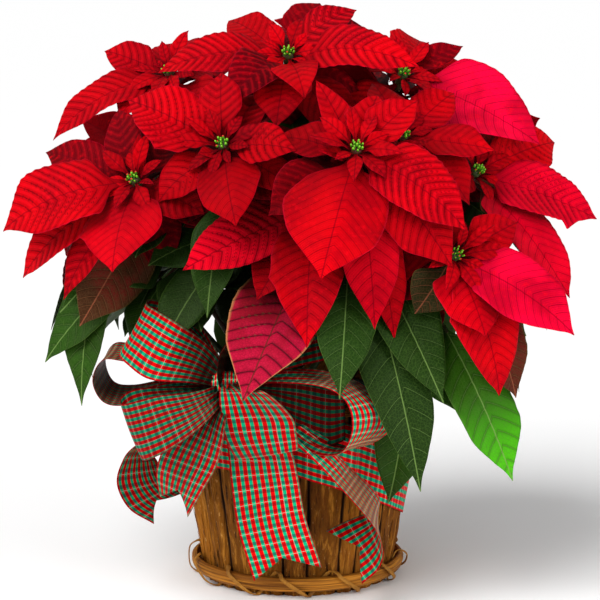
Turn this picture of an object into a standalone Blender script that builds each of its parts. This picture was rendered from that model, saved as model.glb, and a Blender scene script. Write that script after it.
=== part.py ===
"""Poinsettia in a bark basket, tied with a plaid ribbon and a bow.

Metres, +Z up, front of the plant toward -Y. The basket stands on z = 0 with its
axis on x = y = 0.

The plant and the bow are laid out on a front layout sheet: 600 squares each way,
column to the right and row downward, seen from a little above. A place is
(column, row, near), where near is how far it comes toward the viewer in mm.
"""
import math
import random

import bmesh
import bpy
from mathutils import Matrix, Vector
from mathutils.bvhtree import BVHTree

MM = 0.001

# Front layout sheet
SQUARE = 0.88 * MM            # one square of the sheet at the basket's axis
SHEET_AXIS = 297.5            # column of the basket's axis
SHEET_MID = 300.0             # row of the sheet's centre
EYE_TILT = math.radians(9.0)  # how far the viewer looks down
EYE_FAR = 2.0                 # viewer's distance
EYE_HIGH = 0.245              # height of the sheet's centre

# Basket
SLAT_FOOT_R = 82.3 * MM       # outer radius of the slats at the foot
SLAT_FLARE = 0.166            # how much the radius grows with height
BASKET_HIGH = 180 * MM
SLATS = 26
SLAT_THICK = 7 * MM
BOARD_THICK = 8 * MM
HOOP_HIGH = 13.8 * MM
HOOP_DEEP = 6.2 * MM
HOOP_OFF = 3.2 * MM           # room behind a hoop for the cane
FOOT_HOOP_Z = 12.0 * MM
RIM_HOOP_Z = 169 * MM
CANE_TURNS = 12
CANE_WIDE = 5.0 * MM
CANE_THICK = 1.3 * MM
# One turn of cane round a hoop: share of the turn, mm out from the hoop's back
# and up from its middle, and the way it faces
CANE_TURN = (
    (0.00, (8.2, 5.6), (1.0, 0.35)), (0.30, (8.2, -5.6), (1.0, -0.35)),
    (0.42, (2.8, -10.4), (0.3, -1.0)), (0.50, (-2.0, -8.9), (-1.0, -0.3)),
    (0.80, (-2.0, 8.9), (-1.0, 0.3)), (0.92, (2.8, 10.4), (0.3, 1.0)),
)

# Grower's pot and soil
POT_FOOT_R = 70 * MM
POT_RIM_R = 97 * MM
POT_HIGH = 150 * MM
POT_WALL = 1.6 * MM
SOIL_BELOW_RIM = 15 * MM
GAP = 0.35 * MM               # air between neighbouring solids

# Plaid ribbon
RIBBON_WIDE = 60 * MM
RIBBON_THICK = 1.0 * MM
WRAP_SIDES = 40
WRAP_MID_Z = 121 * MM
WRAP_RISE = 44 * MM
WRAP_HIGH_SIDE = math.radians(-150)
KNOT = (229, 387, 122)

# Plant
TRUNK_R = 6.0 * MM
TRUNK_HOLE_DEEP = 38 * MM
TRUNKS = {                    # foot x, y and top x, y, z in mm
    "left": ((-26, 6), (-34, -2, 205)),
    "right": ((27, 4), (36, -4, 205)),
    "rear": ((2, 34), (-2, 44, 212)),
}
STEM_R = 3.4 * MM
BLADE_THICK = 1.7 * MM        # at the midrib
SMALL_BLADE = 46 * MM         # narrower blades have fewer cross sections
SHADE_BLADES = 1              # more bracts under each bloom
RULE_LEAVES = 2               # more leaves on each stem
RED = "bract"
TURNING = "turning"
GREEN = "leaf"

# How wide a blade is along its length, as shares of its full width.
OUTLINES = {
    RED: ((0.12, 0.16), (0.26, 0.88), (0.47, 1.00), (0.69, 0.84), (0.88, 0.36)),
    TURNING: ((0.14, 0.14), (0.30, 0.86), (0.49, 1.00), (0.70, 0.84), (0.88, 0.36)),
    GREEN: ((0.22, 0.08), (0.36, 0.86), (0.54, 1.00), (0.73, 0.84), (0.89, 0.36)),
}

# Blooms: trunk, centre on the sheet, the way the bloom faces, then its blades.
# A blade is (kind, tip on the sheet, width mm, arch, roll in degrees).
BLOOMS = {
    "top": ("rear", (288, 52, 20), (0.0, -0.70, 0.70), [
        (RED, (157, 72, 30), 50, 0.14, 10),
        (RED, (320, 3, -30), 44, 0.10, 0),
        (RED, (357, 9, 14), 42, 0.16, 0),
        (RED, (376, 33, -55), 40, 0.10, 0),
        (RED, (420, 67, 48), 50, 0.16, 0),
        (RED, (262, 82, 62), 24, 0.06, 0),
        (RED, (225, 108, 66), 44, 0.22, 0),
        (RED, (228, 20, -50), 44, 0.10, 0),
        (RED, (305, 98, 78), 40, 0.16, 0),
        (RED, (296, 26, -95), 46, 0.08, 0),
        (RED, (276, 128, 76), 50, 0.14, 0),
    ]),
    "upper_left": ("left", (222, 143, 92), (-0.20, -0.75, 0.62), [
        (RED, (128, 100, 74), 60, 0.24, 0),
        (RED, (222, 72, 50), 40, 0.12, 0),
        (RED, (206, 100, 84), 17, 0.04, 0),
        (RED, (297, 150, 118), 42, 0.12, 0),
        (RED, (236, 226, 146), 54, 0.14, 0),
        (RED, (198, 153, 122), 14, 0.04, 0),
        (RED, (305, 196, 104), 34, 0.12, 0),
        (RED, (158, 202, 92), 44, 0.16, 0),
        (RED, (262, 92, 46), 38, 0.10, 0),
    ]),
    "left": ("left", (133, 178, 76), (-0.32, -0.75, 0.56), [
        (RED, (2, 231, 60), 66, 0.16, 0),
        (RED, (22, 278, 44), 46, 0.12, 0),
        (RED, (112, 272, 122), 68, 0.10, 0),
        (RED, (118, 108, 36), 34, 0.10, 0),
        (RED, (205, 214, 100), 44, 0.12, 0),
        (RED, (182, 138, 48), 38, 0.10, 0),
        (RED, (139, 133, 70), 14, 0.03, 0),
        (RED, (63, 300, 72), 34, 0.10, 0),
        (RED, (45, 152, 16), 40, 0.12, 0),
    ]),
    "centre": ("right", (357, 147, 126), (0.05, -0.75, 0.66), [
        (RED, (321, 279, 186), 86, 0.10, 0),
        (RED, (467, 230, 152), 58, 0.12, 0),
        (RED, (453, 268, 132), 62, 0.10, 0),
        (RED, (375, 330, 150), 52, 0.12, 0),
        (RED, (395, 340, 124), 40, 0.10, 0),
        (RED, (316, 80, 88), 24, 0.08, 0),
        (RED, (378, 94, 92), 36, 0.10, 0),
        (RED, (418, 100, 102), 38, 0.12, 0),
        (RED, (320, 150, 140), 15, 0.04, 0),
        (RED, (275, 138, 100), 36, 0.14, 0),
    ]),
    "right_upper": ("right", (404, 134, 62), (0.25, -0.62, 0.72), [
        (RED, (495, 150, 84), 44, 0.12, 0),
        (RED, (455, 92, 40), 40, 0.10, 0),
        (RED, (372, 82, 30), 38, 0.10, 0),
        (RED, (470, 205, 84), 48, 0.12, 0),
    ]),
    "right_lower": ("right", (457, 254, 122), (0.35, -0.80, 0.46), [
        (RED, (486, 336, 168), 60, 0.14, 0),
        (RED, (500, 396, 136), 56, 0.12, 0),
        (RED, (575, 335, 122), 58, 0.12, 0),
        (RED, (518, 222, 92), 38, 0.10, 0),
        (RED, (440, 205, 92), 36, 0.10, 0),
        (TURNING, (415, 314, 124), 40, 0.10, 0),
        (TURNING, (517, 398, 104), 54, 0.10, 0),
    ]),
    "low_front": ("left", (314, 206, 84), (-0.10, -0.80, 0.50), [
        (RED, (183, 270, 130), 58, 0.16, 0),
        (RED, (257, 300, 140), 50, 0.12, 0),
        (RED, (307, 348, 158), 58, 0.12, 0),
        (RED, (215, 200, 70), 40, 0.10, 0),
    ]),
    "right": ("right", (478, 170, 34), (0.50, -0.60, 0.60), [
        (RED, (597, 219, 58), 66, 0.14, 0),
        (RED, (570, 298, 84), 64, 0.14, 0),
        (RED, (556, 142, 2), 48, 0.12, 0),
        (RED, (500, 112, -40), 44, 0.10, 0),
        (RED, (545, 190, -40), 46, 0.10, 0),
        (TURNING, (520, 250, 60), 44, 0.10, 0),
    ]),
    "rear_right": ("rear", (404, 72, -22), (0.25, -0.66, 0.70), [
        (RED, (540, 144, 30), 84, 0.15, 0),
        (RED, (463, 46, -44), 26, 0.08, 0),
        (RED, (396, 36, -30), 20, 0.04, 0),
        (RED, (420, 40, -100), 48, 0.12, 0),
        (RED, (360, 60, -70), 44, 0.10, 0),
        (RED, (480, 84, -80), 50, 0.12, 0),
    ]),
    "rear_left": ("rear", (168, 70, -40), (-0.30, -0.60, 0.72), [
        (RED, (104, 50, -40), 40, 0.12, 0),
        (RED, (52, 140, -30), 46, 0.14, 0),
        (RED, (190, 40, -110), 46, 0.10, 0),
        (RED, (130, 80, -110), 48, 0.12, 0),
        (RED, (215, 72, -60), 42, 0.10, 0),
        (RED, (118, 118, -4), 44, 0.12, 0),
    ]),
    "back_high": ("rear", (300, 88, -122), (0.0, 0.65, 0.75), [
        (RED, (228, 60, -150), 52, 0.14, 0),
        (RED, (300, 48, -140), 46, 0.12, 0),
        (RED, (378, 70, -152), 52, 0.14, 0),
        (RED, (386, 130, -178), 54, 0.14, 0),
        (RED, (322, 168, -208), 56, 0.14, 0),
        (RED, (246, 150, -196), 56, 0.14, 0),
        (RED, (212, 104, -150), 48, 0.12, 0),
    ]),
    "back_left": ("rear", (158, 150, -128), (-0.55, 0.60, 0.60), [
        (RED, (80, 118, -110), 52, 0.14, 0),
        (RED, (56, 196, -126), 56, 0.14, 0),
        (RED, (122, 250, -160), 58, 0.14, 0),
        (RED, (212, 220, -190), 56, 0.14, 0),
        (RED, (214, 140, -190), 48, 0.12, 0),
        (RED, (150, 92, -140), 46, 0.12, 0),
        (TURNING, (90, 262, -120), 50, 0.12, 0),
    ]),
    "back_right": ("rear", (452, 148, -118), (0.55, 0.60, 0.60), [
        (RED, (540, 118, -98), 52, 0.14, 0),
        (RED, (556, 200, -112), 56, 0.14, 0),
        (RED, (492, 256, -150), 58, 0.14, 0),
        (RED, (400, 224, -184), 56, 0.14, 0),
        (RED, (398, 150, -186), 48, 0.12, 0),
        (RED, (462, 88, -132), 46, 0.12, 0),
        (TURNING, (528, 262, -112), 50, 0.12, 0),
    ]),
    "back_low": ("rear", (300, 222, -168), (0.05, 0.85, 0.45), [
        (RED, (222, 250, -190), 54, 0.14, 0),
        (RED, (262, 316, -196), 56, 0.14, 0),
        (RED, (340, 318, -196), 56, 0.14, 0),
        (RED, (380, 252, -190), 54, 0.14, 0),
        (RED, (300, 180, -190), 40, 0.10, 0),
        (TURNING, (300, 352, -160), 50, 0.12, 0),
    ]),
    "left_side": ("left", (88, 212, -30), (-0.85, 0.15, 0.50), [
        (RED, (26, 196, -66), 50, 0.14, 0),
        (RED, (30, 262, -24), 50, 0.14, 0),
        (RED, (78, 316, -40), 50, 0.14, 0),
        (RED, (84, 260, -96), 50, 0.14, 0),
        (RED, (66, 160, -50), 42, 0.12, 0),
    ]),
}

# Leaves: kind, stem they grow from, how far up it, tip on the sheet, width mm,
# arch, roll in degrees.
LEAVES = [
    (TURNING, "left", 0.80, (80, 326, 108), 62, 0.08, -30),
    (GREEN, "left", 0.56, (214, 372, 152), 64, -0.02, 0),
    (GREEN, "centre", 0.60, (444, 403, 152), 56, 0.12, 0),
    (GREEN, "right_lower", 0.50, (388, 504, 74), 46, 0.26, 0),
    (GREEN, "left_side", 0.85, (81, 406, 64), 44, 0.16, 0),
    (GREEN, "left", 0.62, (44, 362, 66), 52, 0.16, 0),
    (GREEN, "left", 0.74, (60, 312, 100), 34, 0.12, 0),
    (GREEN, "left", 0.50, (130, 345, 60), 42, 0.12, 0),
    (GREEN, "upper_left", 0.78, (207, 318, 118), 42, 0.12, 0),
    (GREEN, "upper_left", 0.50, (160, 352, 92), 46, 0.12, 0),
    (GREEN, "centre", 0.60, (421, 492, 112), 58, 0.20, 0),
    (GREEN, "centre", 0.55, (340, 399, 160), 52, 0.12, 0),
    (TURNING, "low_front", 0.62, (243, 401, 166), 78, 0.12, 0),
    (GREEN, "low_front", 0.60, (316, 372, 116), 44, 0.12, 0),
    (GREEN, "right_lower", 0.62, (513, 481, 128), 56, 0.22, 0),
    (GREEN, "right_lower", 0.80, (527, 336, 92), 40, 0.10, 0),
    (GREEN, "right_lower", 0.45, (468, 420, 104), 48, 0.14, 0),
    (GREEN, "right", 0.80, (512, 238, 92), 44, 0.10, 0),
    (GREEN, "right", 0.60, (548, 330, 20), 52, 0.16, 0),
    (GREEN, "right", 0.45, (520, 392, -10), 54, 0.18, 0),
    (GREEN, "rear_right", 0.55, (470, 270, -40), 50, 0.12, 0),
    (GREEN, "left_side", 0.80, (50, 330, -20), 50, 0.16, 0),
    (GREEN, "left_side", 0.60, (92, 380, -30), 54, 0.18, 0),
    (GREEN, "left_side", 0.45, (96, 342, -90), 52, 0.16, 0),
    (GREEN, "back_left", 0.75, (118, 330, -130), 56, 0.18, 0),
    (GREEN, "back_left", 0.55, (176, 372, -150), 58, 0.20, 0),
    (GREEN, "back_low", 0.80, (232, 380, -172), 56, 0.18, 0),
    (GREEN, "back_low", 0.62, (360, 384, -172), 56, 0.18, 0),
    (GREEN, "back_low", 0.45, (296, 420, -150), 58, 0.20, 0),
    (GREEN, "back_right", 0.75, (486, 330, -130), 56, 0.18, 0),
    (GREEN, "back_right", 0.55, (426, 376, -152), 58, 0.20, 0),
    (GREEN, "back_high", 0.60, (250, 300, -168), 48, 0.14, 0),
    (GREEN, "back_high", 0.75, (352, 300, -172), 48, 0.14, 0),
    (GREEN, "rear_left", 0.60, (130, 200, -90), 46, 0.12, 0),
    (GREEN, "rear_left", 0.35, (152, 282, -40), 60, 0.14, 0),
    (GREEN, "top", 0.45, (210, 262, 20), 58, 0.14, 0),
    (GREEN, "right_upper", 0.55, (430, 300, 40), 56, 0.14, 0),
    (GREEN, "top", 0.70, (300, 180, 60), 46, 0.10, 0),
]

# Loops and tails of the bow, each a list of cross lines from one end to the
# other: one edge on the sheet, the other edge's column and row, and how far that
# edge leans toward (+1) or away from (-1) the viewer. Short of 1 it is gathered.
BOW = {
    "loop_upper_left": [
        ((226, 388, 126), (230, 378), -0.12),
        ((190, 383, 142), (206, 346), -1),
        ((150, 379, 144), (176, 324), -1),
        ((127, 364, 132), (156, 312), -1),
        ((120, 355, 114), (144, 304), -1),
        ((130, 347, 98), (154, 300), -1),
        ((172, 352, 96), (192, 318), -1),
        ((226, 386, 116), (230, 376), -0.12),
    ],
    "loop_far_left": [
        ((226, 386, 118), (230, 378), -0.12),
        ((168, 366, 120), (172, 352), -0.7),
        ((126, 362, 116), (132, 347), -1),
        ((103, 361, 108), (110, 345), -1),
        ((93, 381, 102), (100, 362), -1),
        ((103, 402, 104), (108, 384), -1),
        ((126, 406, 112), (130, 388), -1),
        ((170, 396, 116), (172, 380), -0.6),
        ((226, 390, 116), (230, 382), -0.12),
    ],
    "loop_lower_left": [
        ((226, 384, 126), (230, 394), 0.12),
        ((190, 393, 140), (208, 420), 1),
        ((160, 396, 142), (182, 441), 1),
        ((138, 401, 138), (158, 454), 1),
        ((121, 404, 124), (145, 457), 1),
        ((123, 396, 108), (146, 446), 1),
        ((146, 388, 100), (164, 434), 1),
        ((226, 384, 116), (230, 394), 0.12),
    ],
    "tail_front_left": [
        ((226, 386, 124), (232, 394), 0.12),
        ((200, 402, 132), (227, 420), 0.8),
        ((180, 425, 134), (224, 442), 1),
        ((164, 448, 132), (218, 464), 1),
        ((157, 472, 122), (206, 486), 1),
        ((160, 497, 108), (191, 511), 1),
    ],
    "tail_far_left": [
        ((228, 386, 114), (232, 394), -0.12),
        ((202, 404, 110), (212, 414), -0.2),
        ((176, 421, 104), (192, 434), -0.5),
        ((134, 447, 98), (150, 452), -0.9),
        ((121, 466, 98), (154, 466), -1),
        ((118, 486, 94), (162, 482), -1),
        ((130, 509, 86), (172, 491), -1),
        ((154, 524, 76), (182, 497), -1),
    ],
    "loop_centre": [
        ((222, 386, 128), (238, 386), 0.12),
        ((220, 393, 152), (268, 391), 1),
        ((221, 418, 160), (292, 415), 1),
        ((226, 440, 152), (297, 434), 1),
        ((237, 460, 132), (298, 448), 1),
        ((236, 448, 114), (294, 438), 1),
        ((228, 412, 114), (270, 406), 0.9),
        ((222, 388, 118), (238, 386), 0.12),
    ],
    "tail_front_centre": [
        ((222, 388, 114), (238, 386), 0.12),
        ((224, 424, 116), (280, 418), 0.6),
        ((228, 452, 108), (293, 452), 1),
        ((232, 488, 100), (299, 478), 1),
        ((239, 532, 88), (306, 517), 1),
        ((254, 581, 76), (322, 566), 1),
    ],
    "loop_small_centre": [
        ((224, 392, 130), (236, 391), -0.12),
        ((217, 374, 146), (232, 373), -0.9),
        ((222, 350, 150), (240, 352), -0.95),
        ((238, 336, 148), (252, 344), -0.95),
        ((254, 354, 144), (260, 362), -0.9),
        ((236, 386, 124), (242, 388), -0.12),
    ],
    "loop_upper_right": [
        ((230, 388, 124), (234, 378), -0.12),
        ((262, 380, 136), (262, 344), -1),
        ((290, 369, 138), (286, 318), -1),
        ((322, 361, 132), (314, 304), -1),
        ((338, 357, 116), (332, 302), -1),
        ((334, 355, 98), (330, 302), -1),
        ((296, 364, 94), (294, 316), -1),
        ((232, 388, 116), (236, 378), -0.12),
    ],
    "loop_right": [
        ((230, 386, 130), (236, 380), -0.12),
        ((278, 384, 156), (292, 370), -0.6),
        ((320, 386, 160), (340, 376), -1),
        ((343, 397, 158), (372, 391), -1),
        ((352, 416, 152), (399, 412), -1),
        ((350, 438, 146), (393, 434), -1),
        ((336, 454, 142), (362, 450), -0.9),
        ((302, 446, 140), (322, 438), -0.3),
        ((232, 390, 124), (238, 384), -0.12),
    ],
    "loop_right_back": [
        ((232, 394, 124), (234, 382), -0.12),
        ((262, 412, 126), (264, 378), 0.3),
        ((296, 434, 124), (298, 376), 0.5),
        ((326, 446, 122), (326, 380), 0.5),
        ((346, 440, 120), (344, 384), 0.5),
    ],
    "tail_right": [
        ((230, 390, 126), (238, 384), -0.12),
        ((284, 434, 138), (300, 424), -0.3),
        ((318, 464, 146), (334, 452), -0.55),
        ((340, 487, 140), (354, 474), -0.9),
        ((359, 509, 128), (374, 494), -1),
        ((375, 530, 118), (382, 508), -1),
        ((383, 552, 106), (374, 516), -1),
        ((378, 570, 96), (350, 524), -0.9),
        ((362, 584, 90), (326, 533), -0.6),
    ],
}
NOTCH_DEEP = 16 * MM
TAILS_NOTCHED = ("tail_front_left", "tail_far_left", "tail_front_centre", "tail_right")


def clear_scene():
    for obj in list(bpy.data.objects):
        bpy.data.objects.remove(obj, do_unlink=True)


RIGHT = Vector((1, 0, 0))
UP = Vector((0, math.sin(EYE_TILT), math.cos(EYE_TILT)))
TOWARD = Vector((0, -math.cos(EYE_TILT), math.sin(EYE_TILT)))
SHEET_CENTRE = Vector((0, 0, EYE_HIGH))
EYE = SHEET_CENTRE + TOWARD * EYE_FAR


def seen(place):
    """A place on the layout sheet as a point in space."""
    column, row, near = place
    grow = 1.0 - near * MM / EYE_FAR
    return (SHEET_CENTRE + RIGHT * (column - SHEET_AXIS) * SQUARE * grow
            + UP * (SHEET_MID - row) * SQUARE * grow + TOWARD * near * MM)


def material(name, colour, roughness, metallic=0.0):
    mat = bpy.data.materials.get(name) or bpy.data.materials.new(name)
    mat.use_nodes = True
    shader = mat.node_tree.nodes["Principled BSDF"]
    shader.inputs["Base Color"].default_value = (*colour, 1.0)
    shader.inputs["Roughness"].default_value = roughness
    shader.inputs["Metallic"].default_value = metallic
    mat.diffuse_color = (*colour, 1.0)
    return mat


def add_object(name, verts, faces, mat, smooth=False):
    mesh = bpy.data.meshes.new(name)
    mesh.from_pydata([tuple(v) for v in verts], [], faces)
    tidy = bmesh.new()
    tidy.from_mesh(mesh)
    bmesh.ops.recalc_face_normals(tidy, faces=tidy.faces)
    for face in tidy.faces:
        face.smooth = smooth
    tidy.to_mesh(mesh)
    tidy.free()
    obj = bpy.data.objects.new(name, mesh)
    bpy.context.scene.collection.objects.link(obj)
    mesh.materials.append(mat)
    return obj


# Closed shapes as (verts, faces)
def ring_shape(rows, closed):
    """Skin over rows of points of equal count, each row a closed loop."""
    count = len(rows[0])
    verts = [p for row in rows for p in row]
    faces = []
    spans = len(rows) if closed else len(rows) - 1
    for i in range(spans):
        a, b = i * count, ((i + 1) % len(rows)) * count
        for j in range(count):
            k = (j + 1) % count
            faces.append((a + j, a + k, b + k, b + j))
    if not closed:
        faces.append(tuple(range(count - 1, -1, -1)))
        last = (len(rows) - 1) * count
        faces.append(tuple(range(last, last + count)))
    return verts, faces


def turned_shape(profile, sides):
    """A solid of revolution from a closed profile of (radius, z)."""
    rows = []
    for i in range(sides):
        a = 2 * math.pi * i / sides
        rows.append([Vector((r * math.cos(a), r * math.sin(a), z)) for r, z in profile])
    return ring_shape(rows, closed=True)


def disc_shape(levels, sides):
    """A round solid from (radius, z) levels, capped at the first and the last."""
    rows = []
    for r, z in levels:
        rows.append([Vector((r * math.cos(2 * math.pi * i / sides),
                             r * math.sin(2 * math.pi * i / sides), z)) for i in range(sides)])
    return ring_shape(rows, closed=False)


def tube_shape(points, radii, sides):
    """A round stalk along points."""
    rows = []
    side = None
    for i, p in enumerate(points):
        ahead = points[min(i + 1, len(points) - 1)] - points[max(i - 1, 0)]
        ahead.normalize()
        if side is None:
            side = ahead.orthogonal().normalized()
        side = (side - ahead * side.dot(ahead)).normalized()
        other = ahead.cross(side)
        rows.append([p + (side * math.cos(2 * math.pi * k / sides)
                          + other * math.sin(2 * math.pi * k / sides)) * radii[i]
                     for k in range(sides)])
    return ring_shape(rows, closed=False)


def bead_shape(centre, axis, radius, length):
    """A small four-sided bead."""
    axis = axis.normalized()
    side = axis.orthogonal().normalized()
    other = axis.cross(side)
    verts = [centre - axis * length / 2, centre + axis * length / 2]
    for k in range(4):
        a = math.pi * k / 2
        verts.append(centre + (side * math.cos(a) + other * math.sin(a)) * radius)
    faces = []
    for k in range(4):
        a, b = 2 + k, 2 + (k + 1) % 4
        faces += [(0, b, a), (1, a, b)]
    return verts, faces


# Blades
def curve_point(a, b, c, t):
    return a * (1 - t) ** 2 + b * 2 * t * (1 - t) + c * t * t


def blade_sections(blade, extra=0.0):
    """Cross sections of a blade: left edge, top, right edge, underside."""
    kind, base, tip, wide, arch, roll, face, seed = blade
    rng = random.Random(seed)
    span = tip - base
    long = span.length
    ahead = span.normalized()
    lift = (face - ahead * face.dot(ahead)).normalized()
    bend = base + span * 0.5 + lift * long * arch * 2.0
    turn = Matrix.Rotation(math.radians(roll), 3, ahead)
    sections = []
    stations = ((0.0, 0.06),) + OUTLINES[kind]
    if wide < SMALL_BLADE:
        stations = stations[:2] + stations[3:]
    for t, share in stations:
        p = curve_point(base, bend, tip, t)
        along = ((bend - base) * (1 - t) + (tip - bend) * t).normalized()
        up = turn @ (lift - along * lift.dot(along)).normalized()
        up = (up - along * up.dot(along)).normalized()
        side = along.cross(up)
        half = max(share * wide * 0.5, 1.3 * MM) + extra
        thick = BLADE_THICK * 0.5 + extra
        left = half * (1 + rng.uniform(-0.09, 0.09))
        right = half * (1 + rng.uniform(-0.09, 0.09))
        if share > 0.5:
            fold_l = rng.uniform(0.02, 0.22) * half
            fold_r = rng.uniform(0.02, 0.22) * half
        else:
            fold_l = fold_r = 0.08 * half
        sections.append((p - side * left + up * fold_l, p + up * thick,
                         p + side * right + up * fold_r, p - up * thick))
    return sections, tip


def blade_shape(blade, extra=0.0):
    sections, tip = blade_sections(blade, extra)
    verts = [p for section in sections for p in section] + [tip]
    end = len(verts) - 1
    faces = [(3, 1, 0), (3, 2, 1)]
    for i in range(len(sections) - 1):
        a, b = 4 * i, 4 * i + 4
        faces += [(a, a + 1, b), (a + 1, b + 1, b)]
        faces += [(a + 3, a, b), (a + 3, b, b + 3)]
        faces += [(a + 1, a + 2, b + 2), (a + 1, b + 2, b + 1)]
        faces += [(a + 2, a + 3, b + 2), (a + 3, b + 3, b + 2)]
    last = 4 * (len(sections) - 1)
    for j in range(4):
        faces.append((last + j, last + (j + 1) % 4, end))
    return verts, faces


# Keeping blades clear of what is already placed
class Placed:
    """What stands already, as (owner, box, tree) with a tree of its faces."""

    def __init__(self):
        self.items = []

    @staticmethod
    def box(verts):
        low = Vector([min(v[i] for v in verts) for i in range(3)])
        high = Vector([max(v[i] for v in verts) for i in range(3)])
        return low, high

    def add(self, owner, shape, outer=None):
        verts, faces = shape
        tree = BVHTree.FromPolygons(verts, faces, all_triangles=False)
        self.items.append((owner, self.box(verts), tree, outer))

    def hit(self, owner, shape, outer=None):
        verts, faces = shape
        low, high = self.box(verts)
        tree = BVHTree.FromPolygons(verts, faces, all_triangles=False)
        for other, (a, b), other_tree, other_outer in self.items:
            if any(low[i] > b[i] or high[i] < a[i] for i in range(3)):
                continue
            if other == owner:
                if outer is None or other_outer is None:
                    continue
                for i, k in tree.overlap(other_tree):
                    if i in outer and k in other_outer:
                        return True
            elif tree.overlap(other_tree):
                return True
        return False


OUTER_FACES = frozenset(range(14, 60))

# Ways to shift a blade that is in the way: mm toward the viewer at its tip,
# roll in degrees, share of its arch, share of its length.
SHIFTS = [(0, 0, 1, 1)]
SHIFTS += [(n, 0, 1, 1) for n in (6, -6, 12, -12, 18, -18)]
SHIFTS += [(n, r, 1, 1) for r in (12, -12, 24, -24) for n in (0, 8, -8, 16, -16, 26, -26)]
SHIFTS += [(n, r, a, 1) for a in (0.4, 1.6, -0.3) for r in (0, 18, -18)
           for n in (0, 10, -10, 22, -22, 34, -34)]
SHIFTS += [(n, r, 1, s) for s in (0.9, 0.8, 0.68) for r in (0, 20, -20)
           for n in (0, 12, -12, 26, -26, 42, -42)]
SHIFTS += [(n, r, a, s) for s in (0.58, 0.46) for a in (1, 0.3) for r in (0, 30, -30)
           for n in (0, 14, -14, 30, -30, 48, -48)]


def shifted(spec, shift):
    """The blade a shift gives."""
    kind, base, tip, wide, arch, roll, face, seed = spec
    near, more_roll, more_arch, share = shift
    tip = tip + (EYE - tip).normalized() * near * MM
    tip = base + (tip - base) * share
    return (kind, base, tip, wide * (0.5 + 0.5 * share), arch * more_arch,
            roll + more_roll, face, seed)


def settle(placed, owner, spec, outer=OUTER_FACES):
    """The first shift of a blade that keeps it clear, or None."""
    for shift in SHIFTS:
        blade = shifted(spec, shift)
        if not placed.hit(owner, blade_shape(blade, extra=GAP), outer):
            placed.add(owner, blade_shape(blade), outer)
            return blade
    return None


# Fusing
def fuse(name, shapes, mat, smooth=True):
    """One closed body from overlapping closed shapes."""
    group = bpy.data.collections.new(name + " pieces")
    bpy.context.scene.collection.children.link(group)
    first = None
    for i, (verts, faces) in enumerate(shapes):
        obj = add_object(f"{name} piece {i}", verts, faces, mat)
        if first is None:
            first = obj
        else:
            bpy.context.scene.collection.objects.unlink(obj)
            group.objects.link(obj)
    if len(shapes) > 1:
        union = first.modifiers.new("union", "BOOLEAN")
        union.operation = "UNION"
        union.operand_type = "COLLECTION"
        union.collection = group
        union.solver = "EXACT"
    bpy.context.view_layer.update()
    seen_by = bpy.context.evaluated_depsgraph_get()
    mesh = bpy.data.meshes.new_from_object(first.evaluated_get(seen_by), depsgraph=seen_by)
    for obj in list(group.objects) + [first]:
        bpy.data.objects.remove(obj, do_unlink=True)
    bpy.data.collections.remove(group)
    mesh.name = name
    keep_main_body(mesh)
    obj = bpy.data.objects.new(name, mesh)
    bpy.context.scene.collection.objects.link(obj)
    mesh.materials.clear()
    mesh.materials.append(mat)
    for face in mesh.polygons:
        face.use_smooth = smooth
    return obj


def islands(bm):
    """Groups of faces that hang together."""
    left = set(bm.faces)
    groups = []
    while left:
        start = left.pop()
        group, queue = [start], [start]
        while queue:
            face = queue.pop()
            for edge in face.edges:
                for other in edge.link_faces:
                    if other in left:
                        left.remove(other)
                        group.append(other)
                        queue.append(other)
        groups.append(group)
    return groups


def keep_main_body(mesh):
    """Drop sealed hollows and loose scraps, and cut into triangles."""
    bm = bmesh.new()
    bm.from_mesh(mesh)
    bmesh.ops.triangulate(bm, faces=bm.faces)
    groups = sorted(islands(bm), key=len, reverse=True)
    for group in groups[1:]:
        bmesh.ops.delete(bm, geom=group, context="FACES")
    bmesh.ops.delete(bm, geom=[v for v in bm.verts if not v.link_faces], context="VERTS")
    bmesh.ops.recalc_face_normals(bm, faces=bm.faces)
    bm.to_mesh(mesh)
    bm.free()


# Basket
def slat_radius(z):
    return SLAT_FOOT_R + SLAT_FLARE * z


def slat_angles():
    """Start angle and width of each bark slat round the basket."""
    rng = random.Random(7)
    widths = [rng.uniform(0.72, 1.3) for _ in range(SLATS)]
    total = sum(widths)
    start = 0.0
    slats = []
    for w in widths:
        slats.append((start, w / total * 2 * math.pi, rng.uniform(-1.0, 1.0), rng.uniform(-1.6, 1.2)))
        start += w / total * 2 * math.pi
    return slats


def basket_slats(mat):
    """Bark slats side by side, with a groove between neighbours."""
    rows = []
    for start, turn, proud, top in slat_angles():
        for share, out in ((0.0, -3.0), (0.2, 0.2), (0.8, 0.2)):
            a = start + share * turn
            level = BASKET_HIGH + (top * MM if out > -2 else -3 * MM)
            swell = (out + (0.5 * proud if out > -2 else 0)) * MM
            way = Vector((math.cos(a), math.sin(a), 0))
            row = []
            for z, more in ((0, 0.0), (90 * MM, 0.4 * MM), (level, 0.0)):
                row.append(way * (slat_radius(z) + swell + more) + Vector((0, 0, z)))
            inner_top = slat_radius(BASKET_HIGH) - SLAT_THICK
            row.append(way * inner_top + Vector((0, 0, BASKET_HIGH - 3 * MM)))
            row.append(way * (slat_radius(0) - SLAT_THICK))
            rows.append(row)
    verts, faces = ring_shape(rows, closed=True)
    return add_object("basket_slats", verts, faces, mat, smooth=True)


def base_board(mat):
    """Round board that the pot stands on, inside the slats."""
    r = slat_radius(0) - SLAT_THICK - 0.9 * MM
    shape = disc_shape(((r, 0), (r, BOARD_THICK)), 32)
    return add_object("basket_base_board", *shape, mat)


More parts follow.
